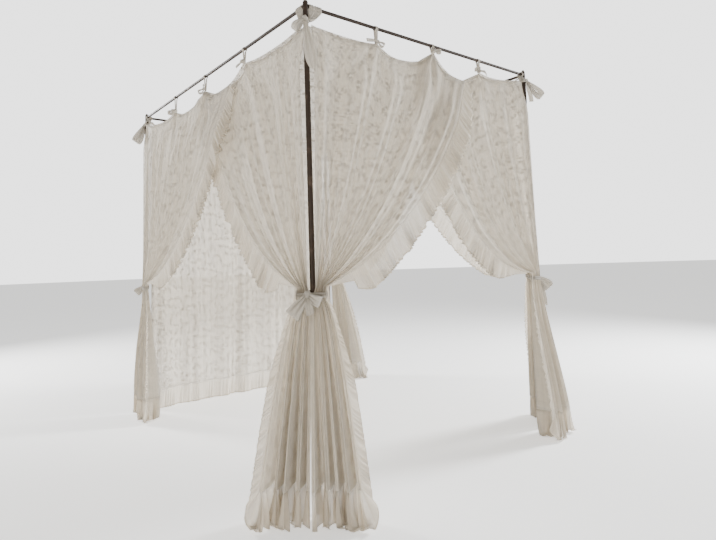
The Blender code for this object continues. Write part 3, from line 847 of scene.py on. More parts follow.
def start_solid(name: str) -> tuple[bpy.types.Material, Shades, bpy.types.Node, bpy.types.NodeSocket]:
    """Start an opaque material.

    Args:
        name: The material's name.

    Returns:
        The material, its tree's helper, its Principled node and its Object coordinates.
    """
    made = bpy.data.materials.new(name)
    made.use_nodes = True
    shade = Shades(made.node_tree)
    place = shade.add("ShaderNodeTexCoord").outputs["Object"]
    return made, shade, made.node_tree.nodes["Principled BSDF"], place


@dataclass
class Finishes:
    """Every finish of the net, built once."""

    voile: bpy.types.Material = field(init=False)
    ruffle: bpy.types.Material = field(init=False)
    ribbon: bpy.types.Material = field(init=False)
    tube: bpy.types.Material = field(init=False)
    cap: bpy.types.Material = field(init=False)

    def __post_init__(self) -> None:
        """Build the materials."""
        # The net's worked colour is the embroidered sprigs tinted dark grey as painted shade
        net, net_work_and_shade = (0.82, 0.765, 0.67), (0.53, 0.49, 0.425)
        frill, frill_hem_and_shade = (0.83, 0.77, 0.67), (0.74, 0.685, 0.59)
        ribbon = (0.62, 0.58, 0.51)
        self.voile = Voile("net_voile_cloth", net, net_work_and_shade, Motif.SPRIGS).material()
        # Painted shade: the ruffle's turned hem is tinted darker than the ruffle, for its double layer
        # against the light
        self.ruffle = Voile(
            "ruffle_voile_cloth", frill, frill_hem_and_shade, Motif.PLAIN, ground_cover=0.66, hem=0.008
        ).material()
        self.ribbon = Voile(
            "ribbon_voile_cloth", ribbon, ribbon, Motif.PLAIN, ground_cover=0.84, passing=0.36
        ).material()
        self.tube = CoatedTube().material()
        self.cap = MouldedCap().material()


# ---------------------------------------------------------------- geometry-node makers


class GatherMaker:
    """A Geometry Nodes tree that gathers a flat strip into a ruffle."""

    UNEVENNESS = 1.1

    def __init__(self) -> None:
        """Build the tree once; each strip gets its own sizes."""
        tree = bpy.data.node_groups.new("gather_strip", "GeometryNodeTree")
        face = tree.interface
        face.new_socket("Geometry", in_out="INPUT", socket_type="NodeSocketGeometry")
        for name, value in (("Pitch", 0.03), ("Depth", 0.01), ("Unevenness", 0.5), ("Seed", 1.0)):
            made = face.new_socket(name, in_out="INPUT", socket_type="NodeSocketFloat")
            made.default_value = value
        face.new_socket("Cloth", in_out="INPUT", socket_type="NodeSocketMaterial")
        face.new_socket("Geometry", in_out="OUTPUT", socket_type="NodeSocketGeometry")
        self.tree = tree
        self.shade = Shades(tree)
        source = self.shade.add("NodeGroupInput").outputs
        move = self.shade.add("GeometryNodeSetPosition")
        self.shade.feed(move.inputs["Geometry"], source["Geometry"])
        self.shade.feed(move.inputs["Offset"], self.offset(source))
        real = self.shade.add("GeometryNodeRealizeInstances")
        paint = self.shade.add("GeometryNodeSetMaterial")
        self.shade.feed(real.inputs[0], move.outputs[0])
        self.shade.feed(paint.inputs["Geometry"], real.outputs[0])
        self.shade.feed(paint.inputs["Material"], source["Cloth"])
        self.shade.feed(self.shade.add("NodeGroupOutput").inputs[0], paint.outputs[0])

    def offset(self, source: bpy.types.NodeOutputs) -> bpy.types.NodeSocket:
        """How far each point moves off the strip.

        Args:
            source: The tree's inputs.

        Returns:
            The move, as a vector.
        """
        shade = self.shade
        run, cross, amount = (shade.named(name, "FLOAT") for name in ("run", "cross", "amount"))
        slow = shade.add("ShaderNodeTexNoise", noise_dimensions="2D")
        join = shade.add("ShaderNodeCombineXYZ")
        shade.feed(join.inputs[0], run)
        shade.feed(join.inputs[1], source["Seed"])
        shade.feed(slow.inputs["Vector"], join.outputs[0])
        slow.inputs["Scale"].default_value = 9.0
        slow.inputs["Detail"].default_value = 1.0
        level = shade.times(shade.sum("SUBTRACT", slow.outputs[0], 0.5), source["Unevenness"])
        turns = shade.sum("MULTIPLY_ADD", level, 5.0, shade.sum("DIVIDE", run, source["Pitch"]))
        wave = shade.times(shade.sum("SINE", shade.times(turns, TAU)), 0.8)
        wave = shade.sum("MULTIPLY_ADD", shade.sum("SINE", shade.times(turns, TAU * 2.37)), 0.25, wave)
        size = shade.sum("MULTIPLY_ADD", level, 1.6, 1.0)
        size = shade.times(size, shade.sum("POWER", cross, 0.8), source["Depth"], amount)
        return shade.vector("SCALE", shade.named("facing", "FLOAT_VECTOR"), shade.times(wave, size))

    def gather(
        self, strip: bpy.types.Object, cloth: bpy.types.Material, pitch: float, depth: float, seed: float
    ) -> bpy.types.Object:
        """Gather a strip that carries run, cross, amount and facing.

        Args:
            strip: The flat strip.
            cloth: Its material.
            pitch: Length of seam that each gather takes.
            depth: How far a gather stands off the strip at its loose edge.
            seed: Which run of uneven gathers it has.

        Returns:
            The strip as a plain mesh.
        """
        names = {s.name: s.identifier for s in self.tree.interface.items_tree if s.item_type == "SOCKET"}
        modifier = strip.modifiers.new("gathers", "NODES")
        modifier.node_group = self.tree
        values = {"Pitch": pitch, "Depth": depth, "Unevenness": self.UNEVENNESS, "Seed": seed, "Cloth": cloth}
        for name, value in values.items():
            modifier[names[name]] = value
        return Sheets.settle(strip)


# ---------------------------------------------------------------- the frame's sides


class SideName(Enum):
    """The four sides of the frame."""

    FOOT = "foot"
    LEFT = "left"
    RIGHT = "right"
    HEAD = "head"


@dataclass(frozen=True)
class Side:
    """A side of the frame, and the heights that its upper edge hangs at."""

    start: tuple[float, float]
    along: tuple[float, float]
    out: tuple[float, float]
    length: float
    places: tuple[float, ...]
    heights: tuple[float, ...]
    sags: tuple[float, ...]

    def edge(self, along: np.ndarray) -> np.ndarray:
        """Height of the net's upper edge at places along the side.

        Args:
            along: Distance from the side's start.

        Returns:
            The heights.
        """
        places, heights, sags = (np.array(v) for v in (self.places, self.heights, self.sags))
        index = np.clip(np.searchsorted(places, along, side="left") - 1, 0, len(places) - 2)
        share = np.clip((along - places[index]) / (places[index + 1] - places[index]), 0, 1)
        sag = sags[index] * (1 - np.abs(2 * share - 1) ** SAG_FLAT)
        return mix(heights[index], heights[index + 1], share) - sag

    def world(self, u: np.ndarray, n: np.ndarray, z: np.ndarray) -> np.ndarray:
        """Points at u along the side, n out of the frame and height z.

        Args:
            u: Distance along the side.
            n: Distance out of the frame.
            z: Height.

        Returns:
            The points.
        """
        x = self.start[0] + self.along[0] * u + self.out[0] * n
        y = self.start[1] + self.along[1] * u + self.out[1] * n
        return np.stack((x, y, z + 0 * x), axis=-1)


SIDES = {
    SideName.FOOT: Side((WEST, FOOT), (1, 0), (0, -1), FRAME_WIDTH, (0, 0.376, 0.739, 1.091, 1.5),
                        (1.897, 1.892, 1.934, 1.898, 1.948), (0.014, 0.062, 0.084, 0.026)),
    SideName.LEFT: Side((WEST, FOOT), (0, 1), (-1, 0), FRAME_LENGTH, (0, 0.537, 0.999, 1.447, 2.0),
                        (1.897, 1.897, 1.886, 1.876, 1.938), (0.026, 0.063, 0.052, 0.042)),
    SideName.RIGHT: Side((EAST, FOOT), (0, 1), (1, 0), FRAME_LENGTH, (0, 0.516, 1.012, 1.478, 2.0),
                         (1.948, 1.890, 1.896, 1.884, 1.946), (0.048, 0.058, 0.054, 0.046)),
    SideName.HEAD: Side((WEST, HEAD), (1, 0), (0, 1), FRAME_WIDTH, (0, 0.380, 0.752, 1.118, 1.5),
                        (1.938, 1.894, 1.902, 1.890, 1.946), (0.044, 0.056, 0.052, 0.048)),
}


# ---------------------------------------------------------------- drawn-back panels


@dataclass(frozen=True)
class DrawnPanel:
    """One panel: it hangs from a rail, is drawn back to a post, and falls to the floor."""

    name: str
    side: SideName
    far_end: bool
    reach: float
    layer: int
    turn: float
    wobble: float
    bow_1: tuple[float, float]
    bow_2: tuple[float, float]
    neck: tuple[float, float]
    floor: tuple[float, float]
    out: float
    depth: float
    seed: float
    folds: int = 4
    fine_pitch: float = 0.066
    columns: int = 172
    fall_rows: int = 60
    neck_rows: int = 4
    tail_rows: int = 32

    @property
    def flat(self) -> tuple[float, float]:
        """Width and length of the flat cloth."""
        return (self.reach, CUT_LENGTH)

    def axes(self) -> tuple[np.ndarray, np.ndarray, np.ndarray]:
        """The post's foot, the way along the face from it, and the way out of the frame.

        Returns:
            The foot's place and the two ways.
        """
        side = SIDES[self.side]
        start = np.array((*side.start, 0.0))
        along = np.array((*side.along, 0.0))
        if self.far_end:
            start, along = start + along * side.length, -along
        return start, along, np.array((*side.out, 0.0))

    def turned(self) -> tuple[np.ndarray, np.ndarray]:
        """The gathered section's own axes: along its line, and out of it.

        Returns:
            The two axes.
        """
        _, along, out = self.axes()
        cos, sin = math.cos(self.turn), math.sin(self.turn)
        return along * cos + out * sin, out * cos - along * sin

    def world(self, u: np.ndarray, n: np.ndarray, z: np.ndarray) -> np.ndarray:
        """Points at u from the post along the face, n out of the frame and height z."""
        start, along, out = self.axes()
        return start + along * u[..., None] + out * n[..., None] + UP * z[..., None]

    def top(self, reach: np.ndarray) -> np.ndarray:
        """Height of the upper edge at a reach from the post."""
        side = SIDES[self.side]
        return side.edge(side.length - reach if self.far_end else reach)

    def wave(self, share: np.ndarray, broad: Number = 0.0) -> np.ndarray:
        """The panel's large folds: even ones, or broad in front with narrow valleys.

        Args:
            share: Place across the cloth, 0 at the post and 1 at its free edge.
            broad: How broad the folds' fronts are, 0 to 1.

        Returns:
            How far the cloth stands out, as a share of the folds' depth.
        """
        inner = np.clip((share - SELVEDGE) / (1 - 2 * SELVEDGE), 0, 1)
        phase = TAU * self.wobble
        shift = np.sin(2 * TAU * inner + phase) - math.sin(phase)
        size = 1 + 0.22 * np.sin(1.5 * TAU * inner + 2 * phase)
        crest = np.abs(np.cos(math.pi * self.folds * (inner + 0.018 * shift)))
        return size * (2 * crest ** mix(2.0, BROAD_FOLD, broad) - 1)

    def fine(self, share: np.ndarray, fall: np.ndarray) -> np.ndarray:
        """The smaller folds between them, which wander and fade as they run down the cloth.

        Args:
            share: Place across the cloth, 0 at the post and 1 at its free edge.
            fall: How far down the cloth, growing from 0 at the rail.

        Returns:
            How far the cloth stands out, as a share of the folds' depth.
        """
        phase = self.seed
        place = share + 0.013 * np.sin(TAU * 2.3 * share + phase)
        place = place + 0.006 * np.sin(TAU * 5.1 * share + 2 * phase)
        place = place + 0.010 * np.sin(2.6 * fall + 7 * share + phase)
        size = 0.72 + 0.30 * np.sin(TAU * 3.1 * share + 1.7 * fall + 3 * phase)
        size = size + 0.18 * np.sin(TAU * 6.3 * share - 2.3 * fall + phase)
        near_edges = ease(share / 0.05) * ease((1 - share) / 0.035)
        return size * np.sin(TAU * round(self.reach / self.fine_pitch) * place) * near_edges

    def gathered(
        self, share: np.ndarray, ends: tuple[Number, Number], out: Number, depth: Number, small: Number,
        fall: np.ndarray, broad: Number = 0.0
    ) -> tuple[np.ndarray, np.ndarray]:
        """Places in the gathered cloth's section.

        Args:
            share: Place across the cloth, 0 at the post and 1 at its free edge.
            ends: Where the section starts and ends on its own line.
            out: How far the line stands off the post.
            depth: Depth of the large folds.
            small: Depth of the small folds.
            fall: How far down the cloth, growing from 0 at the rail.
            broad: How broad the large folds' fronts are, 0 to 1.

        Returns:
            The places along the face and out of the frame.
        """
        q = mix(*ends, share)
        o = out + depth * self.wave(share, broad) + small * self.fine(share, fall)
        cos, sin = math.cos(self.turn), math.sin(self.turn)
        return q * cos - o * sin, q * sin + o * cos

    def puckers(self, u: np.ndarray, z: np.ndarray) -> np.ndarray:
        """Small folds that spread from each tie along the rail, and one that falls from it.

        Args:
            u: Distance from the post along the face.
            z: Height.

        Returns:
            How far the cloth stands out.
        """
        side = SIDES[self.side]
        made = np.zeros_like(u)
        for place, height in zip(side.places[1:-1], side.heights[1:-1]):
            reach = side.length - place if self.far_end else place
            if reach > self.reach + 0.02:
                continue
            du, dz = u - reach, height - z + 0.004
            made += tie_puckers(du, dz, place, 0.0100)
            made += 0.0130 * np.exp(-(((du - 0.03 * dz) / 0.013) ** 2) - dz / 0.22) * ease(dz / 0.05)
        return made

    def falling(self, share: np.ndarray, fall: np.ndarray) -> np.ndarray:
        """Points between the rail and the tieback.

        Args:
            share: Place across the cloth, 0 at the post and 1 at its free edge.
            fall: 0 at the rail and 1 at the tieback.

        Returns:
            The points.
        """
        reach = mix(FIRST_REACH, self.reach, share)
        neck_u, neck_n = self.neck_section(share)
        pull = bow(fall, mix(0.70, self.bow_1[0], share), mix(0.38, self.bow_2[0], share))
        lift = bow(fall, mix(0.667, self.bow_1[1], share), mix(0.333, self.bow_2[1], share))
        u = neck_u + (reach - neck_u) * pull
        z = NECK_TOP + (self.top(reach) - NECK_TOP) * lift
        open_out = ease(fall / 0.2)
        face_out = mix(POST_SIDE_OUT, self.layer * LAYER, ease(share / 0.4))
        face = mix(self.layer * LAYER_TOP, face_out, open_out)
        face = face + mix(0.003, 0.0125, open_out) * self.wave(share)
        face = face + mix(0.0012, 0.0100, ease(fall / 0.55)) * self.fine(share, fall)
        face = face + self.puckers(u, z) * ease(share / 0.08)
        n = mix(face, neck_n, ease(fall) * mix(1.0, fall, share))
        return self.world(u, n, z)

    def neck_section(self, share: np.ndarray) -> tuple[np.ndarray, np.ndarray]:
        """The squeezed section at the tieback's top, beside the post."""
        ends = (NECK_NEAR, self.neck[1])
        return self.gathered(share, ends, NECK_OUT, NECK_LARGE, NECK_SMALL, np.ones_like(share))

    def tail(self, share: np.ndarray, drop: np.ndarray) -> np.ndarray:
        """Points of the tail under the tieback.

        Args:
            share: Place across the cloth, 0 at the post and 1 at its free edge.
            drop: 0 at the tieback and 1 at the floor.

        Returns:
            The points.
        """
        opening = ease(drop / 0.5)
        depth = mix(NECK_LARGE, self.depth * TAIL_DEPTH, ease(drop * 0.5 + 0.5 * drop**0.7))
        small = mix(NECK_SMALL, TAIL_FINE + LONG_FINE * max(self.reach - LONG_REACH, 0), opening)
        near = self.neck[0] * (0.4 if self.neck[0] < 0.01 else 1.0)
        near = mix(near, self.floor[0] * 0.7, ease((drop - 0.35) / 0.6))
        far = mix(self.neck[1], self.floor[1], drop**TAIL_FLARE)
        out = mix(NECK_OUT + NECK_FORWARD * (NECK_NEAR - self.neck[0]), self.out, drop)
        u, n = self.gathered(share, (near, far), out, depth, small, 1 + 1.2 * drop, opening)
        return self.world(u, n, NECK_BOTTOM * (1 - drop))

    def grid(self) -> np.ndarray:
        """All points of the panel, from the rail to its hem.

        Returns:
            The points, (rows, columns, 3).
        """
        shares = np.linspace(0, 1, self.columns + 1)
        fall, share = spread(np.linspace(0, 1, self.fall_rows + 1) ** 0.9, shares)
        upper = self.falling(share, fall)
        hem_drop = 1 - HEM_HEIGHT / NECK_BOTTOM
        drop, share = spread(np.linspace(0, 1, self.tail_rows + 1) ** 1.3 * hem_drop, shares)
        lower = self.tail(share, drop)
        steps = np.linspace(0, 1, self.neck_rows + 2)[1:-1, None, None]
        return np.concatenate((upper, mix(upper[-1:], lower[:1], steps), lower), axis=0)

    def build(self, cloth: bpy.types.Material) -> tuple[bpy.types.Object, np.ndarray]:
        """Make the panel.

        Args:
            cloth: Its material.

        Returns:
            The panel's object and its grid of points.
        """
        grid = self.grid()
        rows, columns = grid.shape[:2]
        down = run_along(grid[:, columns // 2])
        across = np.linspace(0, self.flat[0], columns)
        v, u = spread(down, across)
        gathered = ease((TIE_HEIGHT + 0.30 - grid[..., 2]) / 0.35)
        flat = np.stack((u + self.seed, v), axis=-1)
        made = Sheets.from_grid(self.name + "_cloth", grid, flat, attributes={"gathered": gathered})
        Sheets.thicken(Sheets.paint(made, cloth), Sheets.VOILE)
        return made, grid


PANELS = (
    DrawnPanel("foot_net_left", SideName.FOOT, False, 0.965, 1, math.radians(45), 0.10,
               (0.82, 0.565), (0.447, 0.155), (0.0014, 0.058), (0.006, 0.195), 0.080, 0.058, 0.7),
    DrawnPanel("foot_net_right", SideName.FOOT, True, 0.800, -1, math.radians(12), 0.55,
               (0.95, 0.38), (0.50, 0.02), (0.016, 0.105), (0.013, 0.200), 0.085, 0.056, 1.9),
    DrawnPanel("left_net_foot", SideName.LEFT, False, 1.000, -1, math.radians(45), 0.80,
               (0.88, 0.45), (0.42, 0.115), (0.0014, 0.058), (0.006, 0.200), 0.082, 0.060, 2.6),
    DrawnPanel("left_net_head", SideName.LEFT, True, 1.320, 1, math.radians(10), 0.60,
               (0.82, 0.60), (0.47, 0.08), (0.016, 0.120), (0.026, 0.320), 0.000, 0.048, 3.4),
    DrawnPanel("right_net_foot", SideName.RIGHT, False, 1.020, 1, math.radians(12), 0.65,
               (0.84, 0.50), (0.50, 0.08), (0.016, 0.095), (0.013, 0.190), 0.085, 0.054, 4.3),
    DrawnPanel("right_net_head", SideName.RIGHT, True, 1.080, -1, math.radians(10), 0.20,
               (0.86, 0.48), (0.50, 0.06), (0.016, 0.120), (0.026, 0.310), 0.020, 0.050, 5.2),
)


# ---------------------------------------------------------------- ruffles


@dataclass(frozen=True)
class Strip:
    """A stretch of ruffle: its seam, its loose edge, the way that it faces and how much it gathers."""

    seam: np.ndarray
    loose: np.ndarray
    facing: np.ndarray
    amount: np.ndarray

    def __add__(self, after: Strip) -> Strip:
        """This stretch with another after it."""
        return Strip(
            np.concatenate((self.seam, after.seam)),
            np.concatenate((self.loose, after.loose)),
            np.concatenate((self.facing, after.facing)),
            np.concatenate((self.amount, after.amount)))


@dataclass(frozen=True)
class PanelRuffle:
    """The gathered strip along a panel's free edge, round its corner and along its hem."""

    panel: DrawnPanel
    wide_top: float = 0.070
    wide: float = 0.115
    wide_neck: float = 0.012
    wide_tail: float = 0.045
    pitch: float = 0.027
    depth: float = 0.0125
    rows: int = 9
    edge_step: float = 0.0042
    corner_steps: int = 14
    hem_steps: int = 300
    hem_amount: float = 1.9
    corner_amount: float = 0.8

    def width_at(self, z: np.ndarray, top: float) -> np.ndarray:
        """Width of the strip down the free edge.

        Args:
            z: Height of the seam.
            top: Height of its upper end.

        Returns:
            The widths.
        """
        upper = mix(self.wide_top, self.wide, ease((top - z) / 0.15))
        upper = mix(self.wide_neck, upper, ease((z - NECK_TOP) / 0.09))
        lower = mix(self.wide_neck, self.wide_tail, ease((NECK_BOTTOM - z) / 0.30))
        return np.where(z >= NECK_TOP, upper, lower)

    def edge_strip(self, grid: np.ndarray) -> Strip:
        """The part of the strip along the free edge.

        Args:
            grid: The panel's points.

        Returns:
            The part, from the rail to the hem.
        """
        start, along, out = self.panel.axes()
        q_axis, o_axis = self.panel.turned()
        run = run_along(grid[:, -1])
        seam = resample(grid[:, -1], run, np.linspace(0, run[-1], int(run[-1] / self.edge_step)))
        ahead = unit(soften(unit(np.gradient(seam, axis=0)), np.ones(25)))
        z, top = seam[:, 2], seam[0, 2]
        gathering = (1 - ease((z - NECK_TOP) / 0.25))[:, None]
        sideways = along * (1 - gathering) + q_axis * gathering
        away = unit(sideways * -ahead[:, 2:] + UP * (ahead @ along)[:, None])
        below = ease((NECK_TOP - z) / 0.15)[:, None]
        away = unit(away + UP * (-0.35 * (1 - gathering) - 0.75 * below))
        wide = self.width_at(z, top)
        amount = np.minimum(wide / self.wide + 0.15, 1) * mix(0.35, 1.0, ease((top - z) / 0.25))
        amount = amount * mix(0.15, 1.0, ease(np.abs(z - NECK_TOP) / 0.12))
        loose = seam + away * wide[:, None]
        loose[:, 2] = np.minimum(loose[:, 2], self.panel.top((loose - start) @ along) - 0.006)
        beside = (np.linalg.norm((seam - start)[:, :2], axis=-1) < 0.15) & (z > NECK_TOP)
        held = np.maximum(loose[:, 2], mix(NECK_TOP, z, 0.35))
        loose[:, 2] = np.where(beside, held, loose[:, 2])
        return Strip(seam, loose, out * (1 - gathering) + o_axis * gathering, amount)

    def hem_strip(self, grid: np.ndarray) -> Strip:
        """The part along the hem: it falls to the floor and spreads over it in shells.

        Args:
            grid: The panel's points.

        Returns:
            The part, from the free edge to the post.
        """
        hem, seed = grid[-1, ::-1], self.panel.seed
        seam = resample(hem, np.arange(len(hem)), np.linspace(0, len(hem) - 1, self.hem_steps))
        soft = soften(seam, np.hanning(37))
        facing = unit(np.cross(unit(np.gradient(soft, axis=0)), UP))
        spoke = soft - self.panel.axes()[0]
        spoke[:, 2] = 0
        facing *= np.sign(np.sum(facing * spoke, axis=-1, keepdims=True) + 1e-9)
        turn = np.linspace(0, TAU, self.hem_steps)[:, None]
        shells = 0.16 + 0.05 * np.sin(4.3 * turn + seed) + 0.04 * np.sin(9.7 * turn + 2 * seed)
        loose = soft + spoke * shells
        loose[:, 2] = FLOOR_GAP + 0.002
        return Strip(seam, loose, unit(facing + UP * 0.5), np.full(self.hem_steps, self.hem_amount))

    def corner_strip(self, edge: Strip, hem: Strip) -> Strip:
        """The part that turns the panel's corner.

        Args:
            edge: The part along the free edge.
            hem: The part along the hem.

        Returns:
            The part between them.
        """
        share = np.linspace(0, 1, self.corner_steps + 2)[1:-1, None]
        first, last = edge.loose[-1], hem.loose[0]
        middle = hem.seam[0] + self.panel.turned()[0] * 0.055 - UP * 0.075
        pull = middle * 2 - (first + last) / 2
        loose = (1 - share) ** 2 * first + 2 * share * (1 - share) * pull + share**2 * last
        facing = unit(mix(edge.facing[-1:], hem.facing[:1], share))
        seam = np.repeat(hem.seam[:1], self.corner_steps, axis=0)
        return Strip(seam, loose, facing, np.full(self.corner_steps, self.corner_amount))

    def points(self, strip: Strip, cross: np.ndarray, hem_from: int) -> np.ndarray:
        """The strip's points before it is gathered.

        Args:
            strip: The whole strip.
            cross: Place across it, 0 at the seam and 1 at the loose edge.
            hem_from: Where the part along the hem starts; it curls outward over the floor.

        Returns:
            The points.
        """
        across = (strip.loose - strip.seam)[None]
        points = strip.seam[None] + across * cross[..., None]
        in_hem = (np.arange(len(strip.seam)) >= hem_from)[None, :]
        curl = np.maximum(HEM_HEIGHT * (1 - 1.25 * cross), FLOOR_GAP + 0.012 * cross)
        points[..., 2] = np.where(in_hem, np.minimum(curl, HEM_HEIGHT), points[..., 2])
        spoke = np.where(in_hem, cross**2.2, cross)
        points[..., :2] = (strip.seam[None] + across * spoke[..., None])[..., :2]
        return points

    def build(self, grid: np.ndarray, maker: GatherMaker, cloth: bpy.types.Material) -> bpy.types.Object:
        """Make the ruffle.

        Args:
            grid: The panel's points.
            maker: The gathering tree.
            cloth: The ruffle's material.

        Returns:
            The ruffle's object.
        """
        edge, hem = self.edge_strip(grid), self.hem_strip(grid)
        strip = edge + self.corner_strip(edge, hem) + hem
        edge_count = len(edge.seam)
        run = run_along(mix(strip.seam, strip.loose, 0.55))
        run = np.where(run > run[edge_count], run[edge_count] + (run - run[edge_count]) * 0.62, run)
        cross, run_grid = spread(np.linspace(0, 1, self.rows), run)
        points = self.points(strip, cross, edge_count + self.corner_steps)
        attributes = {
            "run": run_grid,
            "cross": cross,
            "amount": np.broadcast_to(strip.amount[None], cross.shape),
            "facing": np.broadcast_to(unit(strip.facing)[None], points.shape),
        }
        flat = np.stack((run_grid * 1.5, (1 - cross) * self.wide), axis=-1)
        made = Sheets.from_grid(f"ruffle_{self.panel.name}_cloth", points, flat, attributes=attributes)
        maker.gather(made, cloth, self.pitch, self.depth, self.panel.seed)
        Sheets.rest(made, FLOOR_GAP + 0.0006)
        return Sheets.thicken(made, Sheets.VOILE)


# ---------------------------------------------------------------- closed head panel


@dataclass(frozen=True)
class HeadPanel:
    """The closed panel behind the bed's head, and its hem ruffle."""

    start: float = 0.035
    folds: int = 7
    fine_folds: int = 23
    depth: float = 0.018
    columns: int = 280
    rows: int = 76
    flat_width: float = 2.05
    ruffle_columns: int = 560
    ruffle_rows: int = 8
    ruffle_out: float = 0.016
    ruffle_amount: float = 0.8
    ruffle_pitch: float = 0.034
    ruffle_depth: float = 0.010
    ruffle_seed: float = 9.0

    def grid(self) -> np.ndarray:
        """Points from the upper edge to the hem.

        Returns:
            The points, (rows, columns, 3).
        """
        side = SIDES[SideName.HEAD]
        row, share = spread(np.linspace(0, 1, self.rows + 1), np.linspace(0, 1, self.columns + 1))
        reach = mix(self.start, side.length - self.start, share)
        depth = mix(0.003, self.depth, ease(row))
        bent = share + 0.011 * np.sin(TAU * 1.7 * share + 0.8 + 1.1 * row)
        bent = bent + 0.006 * np.sin(TAU * 3.9 * share + 2 * row)
        wave = np.cos(TAU * self.folds * bent) * (0.85 + 0.45 * np.sin(TAU * 2.5 * share + 0.9 * row))
        place = share + 0.012 * np.sin(TAU * 2.1 * share + 1.3) + 0.011 * np.sin(2.2 * row + 9 * share)
        fine = np.sin(TAU * self.fine_folds * place) * (0.45 + 0.55 * np.sin(TAU * 4.3 * share + 2.6 * row))
        n = depth * wave * 0.85 + mix(0.0012, 0.0065, ease(row * 1.4)) * fine
        z = mix(side.edge(reach), HEM_HEIGHT, row)
        for tie, height in zip(side.places[1:-1], side.heights[1:-1]):
            n = n + tie_puckers(reach - tie, height - z + 0.004, tie, 0.0090)
        return side.world(reach, n, z)

    def ruffle(self, hem: np.ndarray, maker: GatherMaker, trim: bpy.types.Material) -> bpy.types.Object:
        """Make the ruffle, which hangs straight from the hem to the floor.

        Args:
            hem: The panel's lowest row of points.
            maker: The gathering tree.
            trim: The ruffle's material.

        Returns:
            The ruffle's object.
        """
        seam = resample(hem, np.arange(len(hem)), np.linspace(0, len(hem) - 1, self.ruffle_columns))
        loose = seam + np.array((0, self.ruffle_out, 0))
        loose[:, 2] = FLOOR_GAP + 0.001
        cross, run = spread(np.linspace(0, 1, self.ruffle_rows), run_along(seam))
        points = seam[None] + (loose - seam)[None] * cross[..., None]
        facing = np.broadcast_to(np.array((0.0, 1.0, 0.0)), points.shape)
        amount = np.full(cross.shape, self.ruffle_amount)
        attributes = {"run": run, "cross": cross, "amount": amount, "facing": facing}
        flat = np.stack((run * 1.4, (1 - cross) * HEM_HEIGHT), axis=-1)
        made = Sheets.from_grid("ruffle_head_net_cloth", points, flat, attributes=attributes)
        maker.gather(made, trim, self.ruffle_pitch, self.ruffle_depth, self.ruffle_seed)
        return Sheets.thicken(made, Sheets.VOILE)

    def build(
        self, maker: GatherMaker, cloth: bpy.types.Material, trim: bpy.types.Material
    ) -> list[bpy.types.Object]:
        """Make the panel and its ruffle.

        Args:
            maker: The gathering tree.
            cloth: The panel's material.
            trim: The ruffle's material.

        Returns:
            The panel and the ruffle.
        """
        grid = self.grid()
        v, u = spread(run_along(grid[:, 10]), np.linspace(0, self.flat_width, self.columns + 1))
        panel = Sheets.from_grid("head_net_cloth", grid, np.stack((u + 8.0, v), axis=-1))
        Sheets.thicken(Sheets.paint(panel, cloth), Sheets.VOILE)
        return [panel, self.ruffle(grid[-1], maker, trim)]


# ---------------------------------------------------------------- roof


@dataclass(frozen=True)
class RoofPanel:
    """The roof cloth: it hangs from the ties and sags a little between them."""

    out: float = 0.009
    corner: float = 0.0177
    sag: float = 0.050
    steps: int = 96

    def grid(self) -> np.ndarray:
        """Points over the whole roof, notched inside the four posts.

        Returns:
            The points, (rows, columns, 3).
        """
        fine = np.linspace(0, 1, self.steps + 1)
        bent = fine - 0.055 * np.sin(TAU * fine) / TAU * 2
        t, s = spread(bent, bent)
        width, length = FRAME_WIDTH + 2 * self.out, FRAME_LENGTH + 2 * self.out
        x, y = WEST - self.out + s * width, FOOT - self.out + t * length
        u, v = np.clip(x - WEST, 0, FRAME_WIDTH), np.clip(y - FOOT, 0, FRAME_LENGTH)
        heights = (SIDES[SideName.FOOT].edge(u), SIDES[SideName.HEAD].edge(u),
                   SIDES[SideName.LEFT].edge(v), SIDES[SideName.RIGHT].edge(v))
        near = [np.maximum(value, 2e-3) for value in (t, 1 - t, s, 1 - s)]
        weight = sum(1 / value**2 for value in near)
        z = sum(height / value**2 for height, value in zip(heights, near)) / weight
        z = z - self.sag * np.sin(math.pi * s) * np.sin(math.pi * t) * 0.97
        inside = np.sin(math.pi * s) * np.sin(math.pi * t)
        ripple = 0.004 * np.sin(TAU * (5 * s + 2.2 * t + 0.3 * np.sin(TAU * t)))
        ripple = ripple + 0.003 * np.sin(TAU * (7.3 * t - 1.7 * s) + 1.1)
        z = z + ripple * inside + 0.0024
        inset = self.corner + self.out
        for cx, cy in ((WEST, FOOT), (EAST, FOOT), (WEST, HEAD), (EAST, HEAD)):
            away = np.hypot(x - cx, y - cy)
            pull = inset * np.exp(-((away / 0.040) ** 2))
            x = x + np.sign(FRAME_X - cx) * pull
            y = y + np.sign(FRAME_Y - cy) * pull
        return np.stack((x, y, z), axis=-1)

    def build(self, cloth: bpy.types.Material) -> bpy.types.Object:
        """Make the roof.

        Args:
            cloth: Its material.

        Returns:
            The roof's object.
        """
        grid = self.grid()
        shares = np.linspace(0, 1, self.steps + 1)
        v, u = spread(shares * FRAME_LENGTH, shares * FRAME_WIDTH)
        made = Sheets.from_grid("roof_net_cloth", grid, np.stack((u + 12.0, v), axis=-1))
        return Sheets.thicken(Sheets.paint(made, cloth), Sheets.VOILE)


# ---------------------------------------------------------------- ribbons


class EarKind(Enum):
    """A bow's loop, a long folded ear, or a loose end."""

    LOOP = "loop"
    TEAR = "tear"
    END = "end"


